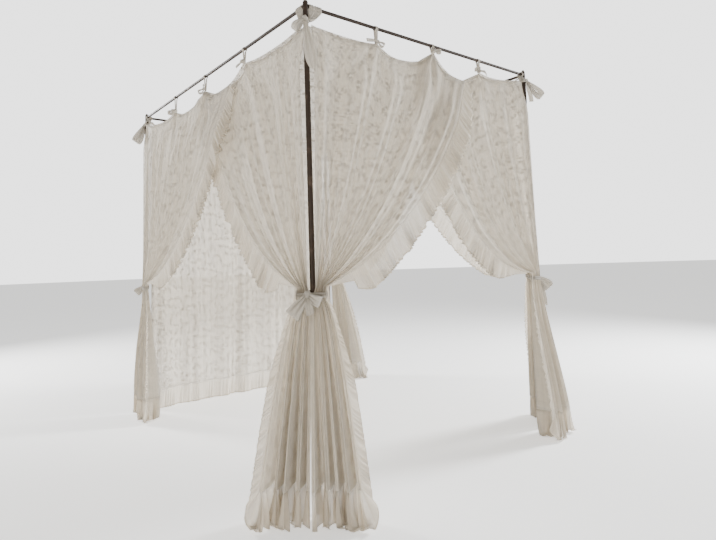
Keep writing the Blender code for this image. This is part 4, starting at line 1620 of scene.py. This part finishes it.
@dataclass(frozen=True)
class Ear:
    """How far an ear reaches from its knot: along the bow, outward and upward."""

    u: float
    n: float
    z: float
    width: float
    kind: EarKind = EarKind.END
    steps: int = 22
    lines: int = 13

    def form(
        self, t: np.ndarray, c: np.ndarray, length: float, seed: float
    ) -> tuple[np.ndarray, np.ndarray, np.ndarray]:
        """The ear's outline along its ribbon.

        Args:
            t: Share of the ribbon's length from the knot.
            c: Place across it, -1 to 1.
            length: How far the ear reaches.
            seed: Which bend a loose end has.

        Returns:
            Distance from the knot, lift off the ear's own plane, and width.
        """
        swell = np.sin(math.pi * t)
        if self.kind is EarKind.LOOP:
            lift = -np.sin(TAU * t) * min(0.36 * length, 0.024) + 0.004 * swell
            return swell**0.85 * length, lift, self.width * (0.34 + 0.66 * swell**0.8)
        if self.kind is EarKind.TEAR:
            widest = 0.72
            tip = np.sqrt(np.maximum(1 - ((t - widest) / 0.29) ** 2, 0))
            wide = np.where(t < widest, mix(0.34, 1.0, ease(t / widest)), tip)
            return t * length, 0.010 * swell, self.width * wide
        lift = 0.006 * swell + 0.004 * np.sin(5 * t + seed)
        wide = self.width * (0.36 + 0.72 * np.sin(math.pi * np.minimum(t * 0.62 + 0.02, 1)) ** 0.9)
        return t * length + 0.10 * self.width * c * t, lift, wide

    def build(self, knot: np.ndarray, axes: tuple[np.ndarray, ...], seed: float) -> bpy.types.Object:
        """Make the ear as a soft ribbon, puckered at the knot.

        Args:
            knot: The knot's middle.
            axes: Along the bow, the way that it faces, and up.
            seed: Which puckers it has.

        Returns:
            The ear's object.
        """
        along, out, up = axes
        reach = along * self.u + out * self.n + up * self.z
        length = float(np.linalg.norm(reach))
        way = reach / length
        across = unit(np.cross(way, out))
        normal = unit(np.cross(across, way))
        t, c = spread(np.linspace(0, 1, self.steps), np.linspace(-1, 1, self.lines))
        run, lift, wide = self.form(t, c, length, seed)
        away = np.sin(math.pi * t) if self.kind is EarKind.LOOP else t
        gather = 0.5 + 0.5 * np.cos(math.pi * np.clip(away, 0, 1))
        crimp = np.cos(2.5 * math.pi * c + seed) * mix(0.10, 0.28, gather) * wide * 0.45
        droop = -0.10 * length * np.clip(run / length, 0, 1) ** 2
        points = (knot + way * run[..., None] + across * (c * wide / 2)[..., None]
                  + normal * (lift + crimp)[..., None] + up * (droop * abs(way @ along))[..., None])
        uv = np.stack((c * self.width / 2, t * length * 1.5), axis=-1)
        return Sheets.thicken(Sheets.from_grid("ear", points, uv), Sheets.RIBBON)


def knot_mesh(centre: np.ndarray, axes: tuple[np.ndarray, ...], sizes: tuple[float, ...]) -> bpy.types.Object:
    """A wrapped knot: a squashed ball with folds running round it.

    Args:
        centre: Its middle.
        axes: Its three axes.
        sizes: Half sizes along them.

    Returns:
        The knot's object.
    """
    rows, columns = 19, 32
    polar, turn = spread(np.linspace(0.02, 1 - 0.02, rows) * math.pi, np.arange(columns) / columns * TAU)
    swell = 1 + 0.07 * np.cos(6 * polar + 2 * np.sin(turn)) + 0.03 * np.sin(5 * turn)
    x = np.cos(polar) * swell
    y = np.sin(polar) * np.cos(turn) * swell
    z = np.sin(polar) * np.sin(turn) * swell
    points = (centre + axes[2] * (x * sizes[2])[..., None] + axes[1] * (y * sizes[1])[..., None]
              + axes[0] * (z * sizes[0])[..., None])
    uv = np.stack((turn * 0.012, polar * 0.012), axis=-1)
    made = Sheets.from_grid("knot", points, uv, closed=True)
    mesh = made.data
    last = (rows - 1) * columns
    vertices = [tuple(v.co) for v in mesh.vertices]
    faces = [tuple(p.vertices) for p in mesh.polygons]
    faces.append(tuple(range(columns - 1, -1, -1)))
    faces.append(tuple(range(last, last + columns)))
    uvs = [uv.reshape(-1, 2)[k] for face in faces for k in face]
    fresh = bpy.data.meshes.new("knot")
    fresh.from_pydata(vertices, [], faces)
    layer = fresh.uv_layers.new(name="cloth")
    layer.data.foreach_set("uv", np.array(uvs, dtype=np.float32).reshape(-1))
    fresh.shade_smooth()
    made.data = fresh
    bpy.data.meshes.remove(mesh)
    return made


def band_mesh(
    points: np.ndarray, across: np.ndarray, width: float, crimp: float, closed: bool
) -> bpy.types.Object:
    """A soft band along points, with folds running its length.

    Args:
        points: The middle of the band, (count, 3).
        across: The way across it at each point, (count, 3).
        width: Its width.
        crimp: Depth of its folds.
        closed: Join its end to its start.

    Returns:
        The band's object.
    """
    if closed:
        ahead = unit(np.roll(points, -1, axis=0) - np.roll(points, 1, axis=0))
    else:
        ahead = unit(np.gradient(points, axis=0))
    normal = unit(np.cross(ahead, across))
    lines = 15
    c = np.linspace(-1, 1, lines)
    fold = np.cos(3.5 * math.pi * c + 0.6 * np.sin(2 * math.pi * c)) * crimp
    run = run_along(points)
    drift = 1 + 0.25 * np.sin(run / 0.013)[None, :]
    grid = (points[None] + across[None] * (c * width / 2)[:, None, None]
            + normal[None] * (fold[:, None] * drift)[..., None])
    v, u = spread(c * width / 2, run)
    made = Sheets.from_grid("band", grid, np.stack((u, v), axis=-1), closed=closed)
    return Sheets.thicken(made, Sheets.RIBBON)


@dataclass(frozen=True)
class RailTie:
    """A ribbon looped over a rail and tied in a bow at the net's edge."""

    side: SideName
    place: int
    ears: tuple[Ear, ...]
    width: float = 0.015
    crimp: float = 0.0007
    loose: float = 0.0022
    apart: float = 0.0014
    above: float = 0.0032
    knot: tuple[float, float, float] = (0.0105, 0.0090, 0.0085)

    def path(self, bottom: float) -> np.ndarray:
        """The strap's line up from the net, round the rail and down again.

        Args:
            bottom: Height of its two ends.

        Returns:
            Places out of the frame and heights, (count, 2).
        """
        radius = RAIL_RADIUS + self.loose + 0.001
        angles = np.radians(np.linspace(-55, 235, 26))
        arc = np.stack((np.cos(angles), np.sin(angles)), axis=-1) * radius
        arc[:, 1] += RAIL_HEIGHT - self.loose
        legs = max(int((arc[0, 1] - bottom) / 0.006), 2)
        rise = ease(np.linspace(0, 1, legs + 1)[:-1, None])
        right = mix(np.array((self.apart, bottom)), arc[0], rise)
        left = mix(np.array((-self.apart, bottom)), arc[-1], rise)[::-1]
        return np.concatenate((right, arc, left))

    def build(self, cloth: bpy.types.Material) -> bpy.types.Object:
        """Make the tie.

        Args:
            cloth: The ribbon's material.

        Returns:
            The tie's object.
        """
        side = SIDES[self.side]
        along, out = np.array((*side.along, 0.0)), np.array((*side.out, 0.0))
        foot = np.array((*side.start, 0.0)) + along * side.places[self.place]
        bottom = side.heights[self.place] + self.above
        path = self.path(bottom)
        points = foot + out * path[:, :1] + UP * path[:, 1:]
        strap = band_mesh(points, np.broadcast_to(along, points.shape), self.width, self.crimp, False)
        knot_at = foot + out * 0.010 + UP * (bottom + 0.009)
        axes = (along, out, UP)
        pieces = [strap, knot_mesh(knot_at, axes, self.knot)]
        for index, ear in enumerate(self.ears):
            pieces.append(ear.build(knot_at + out * 0.002, axes, self.place * 1.7 + index))
        return Sheets.paint(Sheets.join(f"tie_{self.side.value}_{self.place}_ribbon", pieces), cloth)


LOOP, TEAR = EarKind.LOOP, EarKind.TEAR

RAIL_TIES = (
    RailTie(SideName.FOOT, 1, (Ear(-0.072, 0.006, -0.004, 0.015), Ear(0.026, 0.008, -0.018, 0.016, LOOP))),
    RailTie(SideName.FOOT, 2, (Ear(-0.022, 0.010, -0.022, 0.014, LOOP),
                               Ear(0.036, 0.008, -0.004, 0.020, LOOP))),
    RailTie(SideName.FOOT, 3, (Ear(-0.044, 0.008, 0.004, 0.020, LOOP), Ear(0.046, 0.010, -0.010, 0.016))),
    RailTie(SideName.LEFT, 1, (Ear(-0.024, 0.008, -0.014, 0.015, LOOP), Ear(0.036, 0.012, -0.024, 0.016))),
    RailTie(SideName.LEFT, 2, (Ear(-0.038, 0.010, 0.014, 0.017), Ear(0.030, 0.010, -0.016, 0.016, LOOP))),
    RailTie(SideName.LEFT, 3, (Ear(-0.046, 0.010, -0.014, 0.020, LOOP),
                               Ear(0.044, 0.010, -0.008, 0.020, LOOP))),
    RailTie(SideName.RIGHT, 1, (Ear(-0.040, 0.008, -0.006, 0.017, LOOP), Ear(0.030, 0.010, -0.020, 0.015))),
    RailTie(SideName.RIGHT, 2, (Ear(-0.028, 0.010, -0.018, 0.015), Ear(0.042, 0.008, 0.004, 0.018, LOOP))),
    RailTie(SideName.RIGHT, 3, (Ear(-0.044, 0.010, -0.002, 0.018, LOOP), Ear(0.032, 0.010, -0.022, 0.015))),
    RailTie(SideName.HEAD, 1, (Ear(-0.036, 0.010, -0.008, 0.016, LOOP), Ear(0.040, 0.010, -0.014, 0.016))),
    RailTie(SideName.HEAD, 2, (Ear(-0.042, 0.008, 0.002, 0.018, LOOP), Ear(0.030, 0.010, -0.020, 0.015))),
    RailTie(SideName.HEAD, 3, (Ear(-0.030, 0.010, -0.018, 0.015), Ear(0.044, 0.008, -0.004, 0.018, LOOP))),
)


@dataclass(frozen=True)
class CornerTrim:
    """The collar and bow at a post's top, and the sash and bow at its tieback."""

    name: str
    at: tuple[float, float]
    first: SideName
    second: SideName
    collar_height: float
    top_turn: float
    top_ears: tuple[Ear, ...]
    sash_turn: float
    sash_ears: tuple[Ear, ...]
    hoods: tuple[float, float]
    collar_width: float = 0.020
    collar_gap: float = 0.0016
    collar_crimp: float = 0.0008
    collar_steps: int = 48
    collar_knot: tuple[float, float, float] = (0.012, 0.009, 0.014)
    hood_gap: float = 0.0034
    hood_start: float = 0.0135
    hood_crease: float = 0.0017
    sash_height: float = 0.019
    sash_gap: float = 0.0022
    sash_crimp: float = 0.0030
    sash_steps: int = 72
    sash_knot: tuple[float, float, float] = (0.016, 0.0105, 0.019)
    sash_reach: float = 0.15

    def axes(self, turn: float) -> tuple[np.ndarray, np.ndarray, np.ndarray]:
        """Along the bow, the way that it faces, and up.

        Args:
            turn: Degrees that the bow is turned to the left from the corner's own way out.

        Returns:
            The three axes.
        """
        out = unit(np.array((*SIDES[self.first].out, 0.0)) + np.array((*SIDES[self.second].out, 0.0)))
        cos, sin = math.cos(math.radians(turn)), math.sin(math.radians(turn))
        out = np.array((out[0] * cos - out[1] * sin, out[0] * sin + out[1] * cos, 0.0))
        return -np.cross(UP, out), out, UP

    def build_top(self, cloth: bpy.types.Material) -> bpy.types.Object:
        """Make the collar, knot and ears at the top.

        Args:
            cloth: The ribbon's material.

        Returns:
            The corner tie's object.
        """
        axes = self.axes(self.top_turn)
        centre = np.array((*self.at, self.collar_height))
        ring = circle(self.collar_steps)
        radius = POST_RADIUS + self.collar_gap
        spokes = np.concatenate((ring, np.zeros((len(ring), 1))), axis=-1) * radius
        across = np.broadcast_to(UP, spokes.shape)
        collar = band_mesh(centre + spokes, across, self.collar_width, self.collar_crimp, True)
        knot_at = centre + axes[1] * (radius + 0.007)
        pieces = [collar, knot_mesh(knot_at, axes, self.collar_knot)]
        for side, reach in zip((self.first, self.second), self.hoods):
            pieces.append(self.hood(SIDES[side], reach))
        for index, ear in enumerate(self.top_ears):
            pieces.append(ear.build(knot_at + axes[1] * 0.002, axes, 2.1 + index))
        return Sheets.paint(Sheets.join(f"corner_tie_{self.name}_ribbon", pieces), cloth)

    def hood(self, side: Side, reach: float) -> bpy.types.Object:
        """Cloth that passes over a rail beside the post, gathered into the collar under it.

        Args:
            side: The rail's side.
            reach: How far along the rail it spreads.

        Returns:
            The hood's object.
        """
        columns = 46
        out = np.array((*side.out, 0.0))
        post = np.array((*self.at, 0.0))
        start = np.array((*side.start, 0.0))
        along = np.array((*side.along, 0.0)) * (1 if np.linalg.norm(start - post) < 0.1 else -1)
        turns, share = spread(np.radians(np.linspace(-75, 255, 34)), np.linspace(0, 1, columns))
        crease = np.sin(TAU * 6.5 * share + 2.2 * np.sin(TAU * 1.3 * share) + 1.5 * np.sin(turns))
        radius = RAIL_RADIUS + self.hood_gap + self.hood_crease * crease
        run = mix(self.hood_start, reach, share) - 0.006 * share * np.cos(turns)
        z = RAIL_HEIGHT + radius * np.sin(turns)
        over = post + along * run[..., None] + out * (radius * np.cos(turns))[..., None] + UP * z[..., None]
        spot, wrinkle = share[0], crease[0]
        legs = []
        for edge, sign in ((over[0], 1), (over[-1], -0.6)):
            held = (post + along * (0.004 + 0.010 * spot)[:, None]
                    + out * sign * (0.0165 + 0.003 * wrinkle)[:, None]
                    + UP * (self.collar_height + 0.002 * wrinkle)[:, None])
            middle = mix(edge, held, 0.55) - UP * (0.020 * spot)[:, None]
            t = np.linspace(0, 1, 12)[1:, None, None]
            legs.append((1 - t) ** 2 * edge + 2 * t * (1 - t) * middle + t * t * held)
        grid = np.concatenate((legs[0][::-1], over, legs[1]))
        v, u = spread(np.linspace(0, 0.16, len(grid)), np.linspace(0, 0.12, columns))
        return Sheets.thicken(Sheets.from_grid("hood", grid, np.stack((u, v), axis=-1)), Sheets.RIBBON)

    def held(self, panels: dict[str, np.ndarray]) -> np.ndarray:
        """What the sash is tied round, seen from above.

        Args:
            panels: The grids of points of all panels.

        Returns:
            Points of the post and of the cloth beside it, (count, 2).
        """
        corner = np.array(self.at)
        low, high = TIE_HEIGHT - self.sash_height / 2 - 0.006, TIE_HEIGHT + self.sash_height / 2 + 0.006
        inside = [corner + circle(24) * POST_RADIUS]
        for points in panels.values():
            flat = points.reshape(-1, 3)
            close = np.linalg.norm(flat[:, :2] - corner, axis=-1) < self.sash_reach
            inside.append(flat[close & (flat[:, 2] > low) & (flat[:, 2] < high), :2])
        return np.concatenate(inside)

    def sash_ring(self, inside: np.ndarray) -> np.ndarray:
        """A smooth ring just outside all the points that the sash is tied round.

        Args:
            inside: The points, (count, 2).

        Returns:
            The ring's points, (count, 2).
        """
        middle = inside.mean(axis=0)
        ways = circle(self.sash_steps)
        reach = ((inside - middle) @ ways.T).max(axis=0) + self.sash_gap
        turn = (np.roll(reach, -1) - np.roll(reach, 1)) / (2 * TAU / self.sash_steps)
        side = np.stack((-ways[:, 1], ways[:, 0]), axis=-1)
        return middle + ways * reach[:, None] + side * turn[:, None]

    def build_bow(self, line: np.ndarray, cloth: bpy.types.Material) -> bpy.types.Object:
        """Make the sash's bow, where the sash lies furthest out on the side that it faces.

        Args:
            line: The middle of the sash, (count, 3).
            cloth: The ribbon's material.

        Returns:
            The bow.
        """
        ring = line[:, :2]
        out = self.axes(self.sash_turn)[1]
        best = int(np.argmax((ring - ring.mean(axis=0)) @ out[:2]))
        ahead = ring[(best + 1) % self.sash_steps] - ring[best - 1]
        normal = unit(np.array((ahead[1], -ahead[0], 0.0)))
        axes = (-np.cross(UP, normal), normal, UP)
        knot_at = line[best] + normal * 0.010
        pieces = [knot_mesh(knot_at, axes, self.sash_knot)]
        for index, ear in enumerate(self.sash_ears):
            pieces.append(ear.build(knot_at + normal * 0.002, axes, 4.1 + index))
        return Sheets.paint(Sheets.join(f"tieback_bow_{self.name}_ribbon", pieces), cloth)

    def build_sash(
        self, panels: dict[str, np.ndarray], cloth: bpy.types.Material
    ) -> list[bpy.types.Object]:
        """Make the sash and its bow.

        Args:
            panels: The grids of points of all panels.
            cloth: The ribbon's material.

        Returns:
            The sash and the bow.
        """
        ring = self.sash_ring(self.held(panels))
        around = np.arange(self.sash_steps) / self.sash_steps * TAU
        rise = 0.006 * np.sin(around + 0.6) + 0.0035 * np.sin(3 * around + 1.1) + 0.002 * np.sin(7 * around)
        line = np.concatenate((ring, (TIE_HEIGHT + rise)[:, None]), axis=-1)
        across = np.broadcast_to(UP, line.shape)
        sash = band_mesh(line, across, self.sash_height, self.sash_crimp, True)
        sash.name = sash.data.name = f"tieback_{self.name}_ribbon"
        return [Sheets.paint(sash, cloth), self.build_bow(line, cloth)]


CORNERS = (
    CornerTrim("foot_left", (WEST, FOOT), SideName.FOOT, SideName.LEFT, 1.909,
               0, (Ear(-0.034, 0.014, -0.215, 0.050, TEAR), Ear(0.042, 0.014, -0.046, 0.030, LOOP)),
               0, (Ear(0.058, 0.016, -0.070, 0.060, LOOP), Ear(-0.050, 0.016, -0.020, 0.042, LOOP),
                   Ear(-0.010, 0.014, -0.070, 0.028)), (0.080, 0.066)),
    CornerTrim("foot_right", (EAST, FOOT), SideName.FOOT, SideName.RIGHT, 1.936,
               25, (Ear(0.045, 0.058, -0.100, 0.044, LOOP), Ear(-0.004, 0.022, -0.120, 0.036)),
               30, (Ear(0.040, 0.050, -0.062, 0.050, LOOP), Ear(0.006, 0.044, -0.160, 0.034)),
               (0.030, 0.030)),
    CornerTrim("head_left", (WEST, HEAD), SideName.HEAD, SideName.LEFT, 1.920,
               -20, (Ear(-0.046, 0.024, -0.120, 0.054, LOOP), Ear(0.040, 0.022, -0.040, 0.036)),
               -20, (Ear(-0.040, 0.022, -0.044, 0.040, LOOP), Ear(0.036, 0.022, -0.052, 0.034)),
               (0.030, 0.040)),
    CornerTrim("head_right", (EAST, HEAD), SideName.HEAD, SideName.RIGHT, 1.932,
               0, (Ear(-0.046, 0.024, -0.058, 0.042, LOOP), Ear(0.044, 0.024, -0.050, 0.042)),
               0, (Ear(-0.040, 0.022, -0.046, 0.040, LOOP), Ear(0.040, 0.022, -0.040, 0.036)),
               (0.030, 0.030)),
)


# ---------------------------------------------------------------- camera and stage


@dataclass(frozen=True)
class PhotoCamera:
    """The camera at the photograph's place, fitted to the frame's own sizes."""

    place: tuple[float, float, float] = (-1.9379 + FRAME_X, -2.7724 + FRAME_Y, 0.9235)
    yaw: float = 0.8934
    pitch: float = 0.0963
    roll: float = -0.0351
    focal: float = 544.23
    width: int = 716
    height: int = 540
    centre_y: float = 210.0

    def build(self) -> bpy.types.Object:
        """Make the camera and set it as the scene's.

        Returns:
            The camera.
        """
        cos_y, sin_y = math.cos(self.yaw), math.sin(self.yaw)
        cos_p, sin_p = math.cos(self.pitch), math.sin(self.pitch)
        ahead = Vector((cos_p * cos_y, cos_p * sin_y, sin_p))
        right = Vector((sin_y, -cos_y, 0))
        up = right.cross(ahead)
        cos_r, sin_r = math.cos(self.roll), math.sin(self.roll)
        right, up = right * cos_r + up * sin_r, up * cos_r - right * sin_r
        lens = bpy.data.cameras.new("photo_camera")
        lens.sensor_width = 36
        lens.lens = 36 * self.focal / self.width
        lens.shift_y = (self.centre_y - self.height / 2) / self.width
        lens.clip_end = 200
        made = bpy.data.objects.new("photo_camera", lens)
        turn = Matrix((right, up, -ahead)).transposed().to_4x4()
        made.matrix_world = Matrix.Translation(self.place) @ turn
        bpy.context.scene.collection.objects.link(made)
        bpy.context.scene.camera = made
        return made


@dataclass(frozen=True)
class Lamp:
    """A large, soft, round light that points at the middle of the net."""

    name: str
    place: tuple[float, float, float]
    size: float
    power: float
    colour: tuple[float, float, float]

    def build(self) -> None:
        """Add the light to the scene."""
        lamp = bpy.data.lights.new(self.name, "AREA")
        lamp.shape = "DISK"
        lamp.size = self.size
        lamp.energy = self.power
        lamp.color = self.colour
        made = bpy.data.objects.new(self.name, lamp)
        way = Vector((0, 0, 1.0)) - Vector(self.place)
        made.matrix_world = Matrix.Translation(self.place) @ way.to_track_quat("-Z", "Y").to_matrix().to_4x4()
        bpy.context.scene.collection.objects.link(made)


@dataclass(frozen=True)
class Studio:
    """A plain pale floor, a bright backdrop and soft light."""

    floor_colour: tuple[float, float, float] = (0.92, 0.92, 0.91)
    floor_glow: float = 0.85
    floor_radius: float = 60.0
    floor_height: float = -0.0004
    sky_colour: tuple[float, float, float] = (1.0, 0.995, 0.985)
    sky: float = 0.47
    backdrop: float = 3.4
    lamps: tuple[Lamp, ...] = (
        Lamp("right_light", (4.6, -1.6, 2.7), 1.3, 520, (0.96, 0.98, 1.0)),
        Lamp("back_light", (-2.2, 4.8, 2.5), 1.3, 360, (0.98, 0.98, 0.98)),
        Lamp("front_light", (-3.6, -3.8, 0.7), 1.8, 75, (1.0, 0.88, 0.72)),
    )

    def build_floor(self) -> None:
        """Make the floor."""
        mesh = bpy.data.meshes.new("studio_floor")
        angles = np.linspace(0, TAU, 64, endpoint=False)
        radius, height = self.floor_radius, self.floor_height
        ring = [(radius * math.cos(a), radius * math.sin(a), height) for a in angles]
        mesh.from_pydata(ring, [], [tuple(range(len(ring)))])
        floor = bpy.data.objects.new("studio_floor", mesh)
        bpy.context.scene.collection.objects.link(floor)
        paper = bpy.data.materials.new("pale_floor")
        paper.use_nodes = True
        body = paper.node_tree.nodes["Principled BSDF"]
        body.inputs["Base Color"].default_value = rgba(self.floor_colour)
        body.inputs["Roughness"].default_value = 0.9
        body.inputs["Emission Color"].default_value = rgba(self.floor_colour)
        body.inputs["Emission Strength"].default_value = self.floor_glow
        Sheets.paint(floor, paper)

    def build_sky(self) -> None:
        """Make the surrounding light, and the brighter backdrop that only the camera sees."""
        world = bpy.data.worlds.new("studio")
        world.use_nodes = True
        shade = Shades(world.node_tree)
        sky = world.node_tree.nodes["Background"]
        sky.inputs["Color"].default_value = rgba(self.sky_colour)
        sky.inputs["Strength"].default_value = self.sky
        backdrop = shade.add("ShaderNodeBackground")
        backdrop.inputs["Strength"].default_value = self.backdrop
        both = shade.add("ShaderNodeMixShader")
        shade.feed(both.inputs[0], shade.add("ShaderNodeLightPath").outputs["Is Camera Ray"])
        shade.feed(both.inputs[1], sky.outputs[0])
        shade.feed(both.inputs[2], backdrop.outputs[0])
        shade.feed(world.node_tree.nodes["World Output"].inputs["Surface"], both.outputs[0])
        bpy.context.scene.world = world

    def build(self) -> None:
        """Make the whole stage."""
        self.build_floor()
        self.build_sky()
        for lamp in self.lamps:
            lamp.build()


# ---------------------------------------------------------------- the whole net


@dataclass
class BedNet:
    """All pieces of the net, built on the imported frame."""

    frame: dict
    finishes: Finishes
    maker: GatherMaker
    grids: dict[str, np.ndarray] = field(default_factory=dict)

    def dress_frame(self) -> None:
        """Give the posts, rails and caps their finishes."""
        for name, node in self.frame["nodes"].items():
            if name.startswith(("post_", "rail_")):
                paint = self.finishes.tube
            elif name.startswith("cap_"):
                paint = self.finishes.cap
            else:
                continue
            Sheets.paint(node, paint)
            LOG.info("%s: %s", name, paint.name)

    def keep(self, piece: bpy.types.Object, node: str) -> bpy.types.Object:
        """Put a finished piece in place of its CAD node.

        Args:
            piece: The piece.
            node: The CAD node's name.

        Returns:
            The same piece.
        """
        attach(piece, "root")
        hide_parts(node)
        LOG.info("%s: %d faces, %.3f m2", piece.name, len(piece.data.polygons), Sheets.area(piece))
        return piece

    def build_panels(self) -> None:
        """Make the drawn-back panels and their ruffles."""
        for panel in PANELS:
            made, grid = panel.build(self.finishes.voile)
            self.grids[panel.name] = grid
            self.keep(made, panel.name)
            trim = PanelRuffle(panel)
            ruffle = trim.build(grid, self.maker, self.finishes.ruffle)
            self.keep(ruffle, "ruffle_" + panel.name)

    def build_head(self) -> None:
        """Make the closed head panel and its ruffle."""
        panel, ruffle = HeadPanel().build(self.maker, self.finishes.voile, self.finishes.ruffle)
        self.keep(panel, "head_net")
        self.keep(ruffle, "ruffle_head_net")

    def build_roof(self) -> None:
        """Make the roof panel."""
        made = RoofPanel().build(self.finishes.voile)
        self.keep(made, "roof_net")

    def build_ribbons(self) -> None:
        """Make the ties along the rails, the corner ties and the tiebacks."""
        for tie in RAIL_TIES:
            self.keep(tie.build(self.finishes.ribbon), f"tie_{tie.side.value}_{tie.place}")
        for corner in CORNERS:
            self.keep(corner.build_top(self.finishes.ribbon), f"corner_tie_{corner.name}")
            sash, bow = corner.build_sash(self.grids, self.finishes.ribbon)
            self.keep(sash, f"tieback_{corner.name}")
            self.keep(bow, f"tieback_bow_{corner.name}")


def main() -> None:
    """Build everything in order."""
    logging.basicConfig(level=logging.INFO, format="%(name)s: %(message)s")
    for item in list(bpy.data.objects):
        bpy.data.objects.remove(item, do_unlink=True)
    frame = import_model()
    PhotoCamera().build()
    Studio().build()
    net = BedNet(frame, Finishes(), GatherMaker())
    net.dress_frame()
    net.build_panels()
    net.build_head()
    net.build_roof()
    net.build_ribbons()


if __name__ == "__main__":
    main()
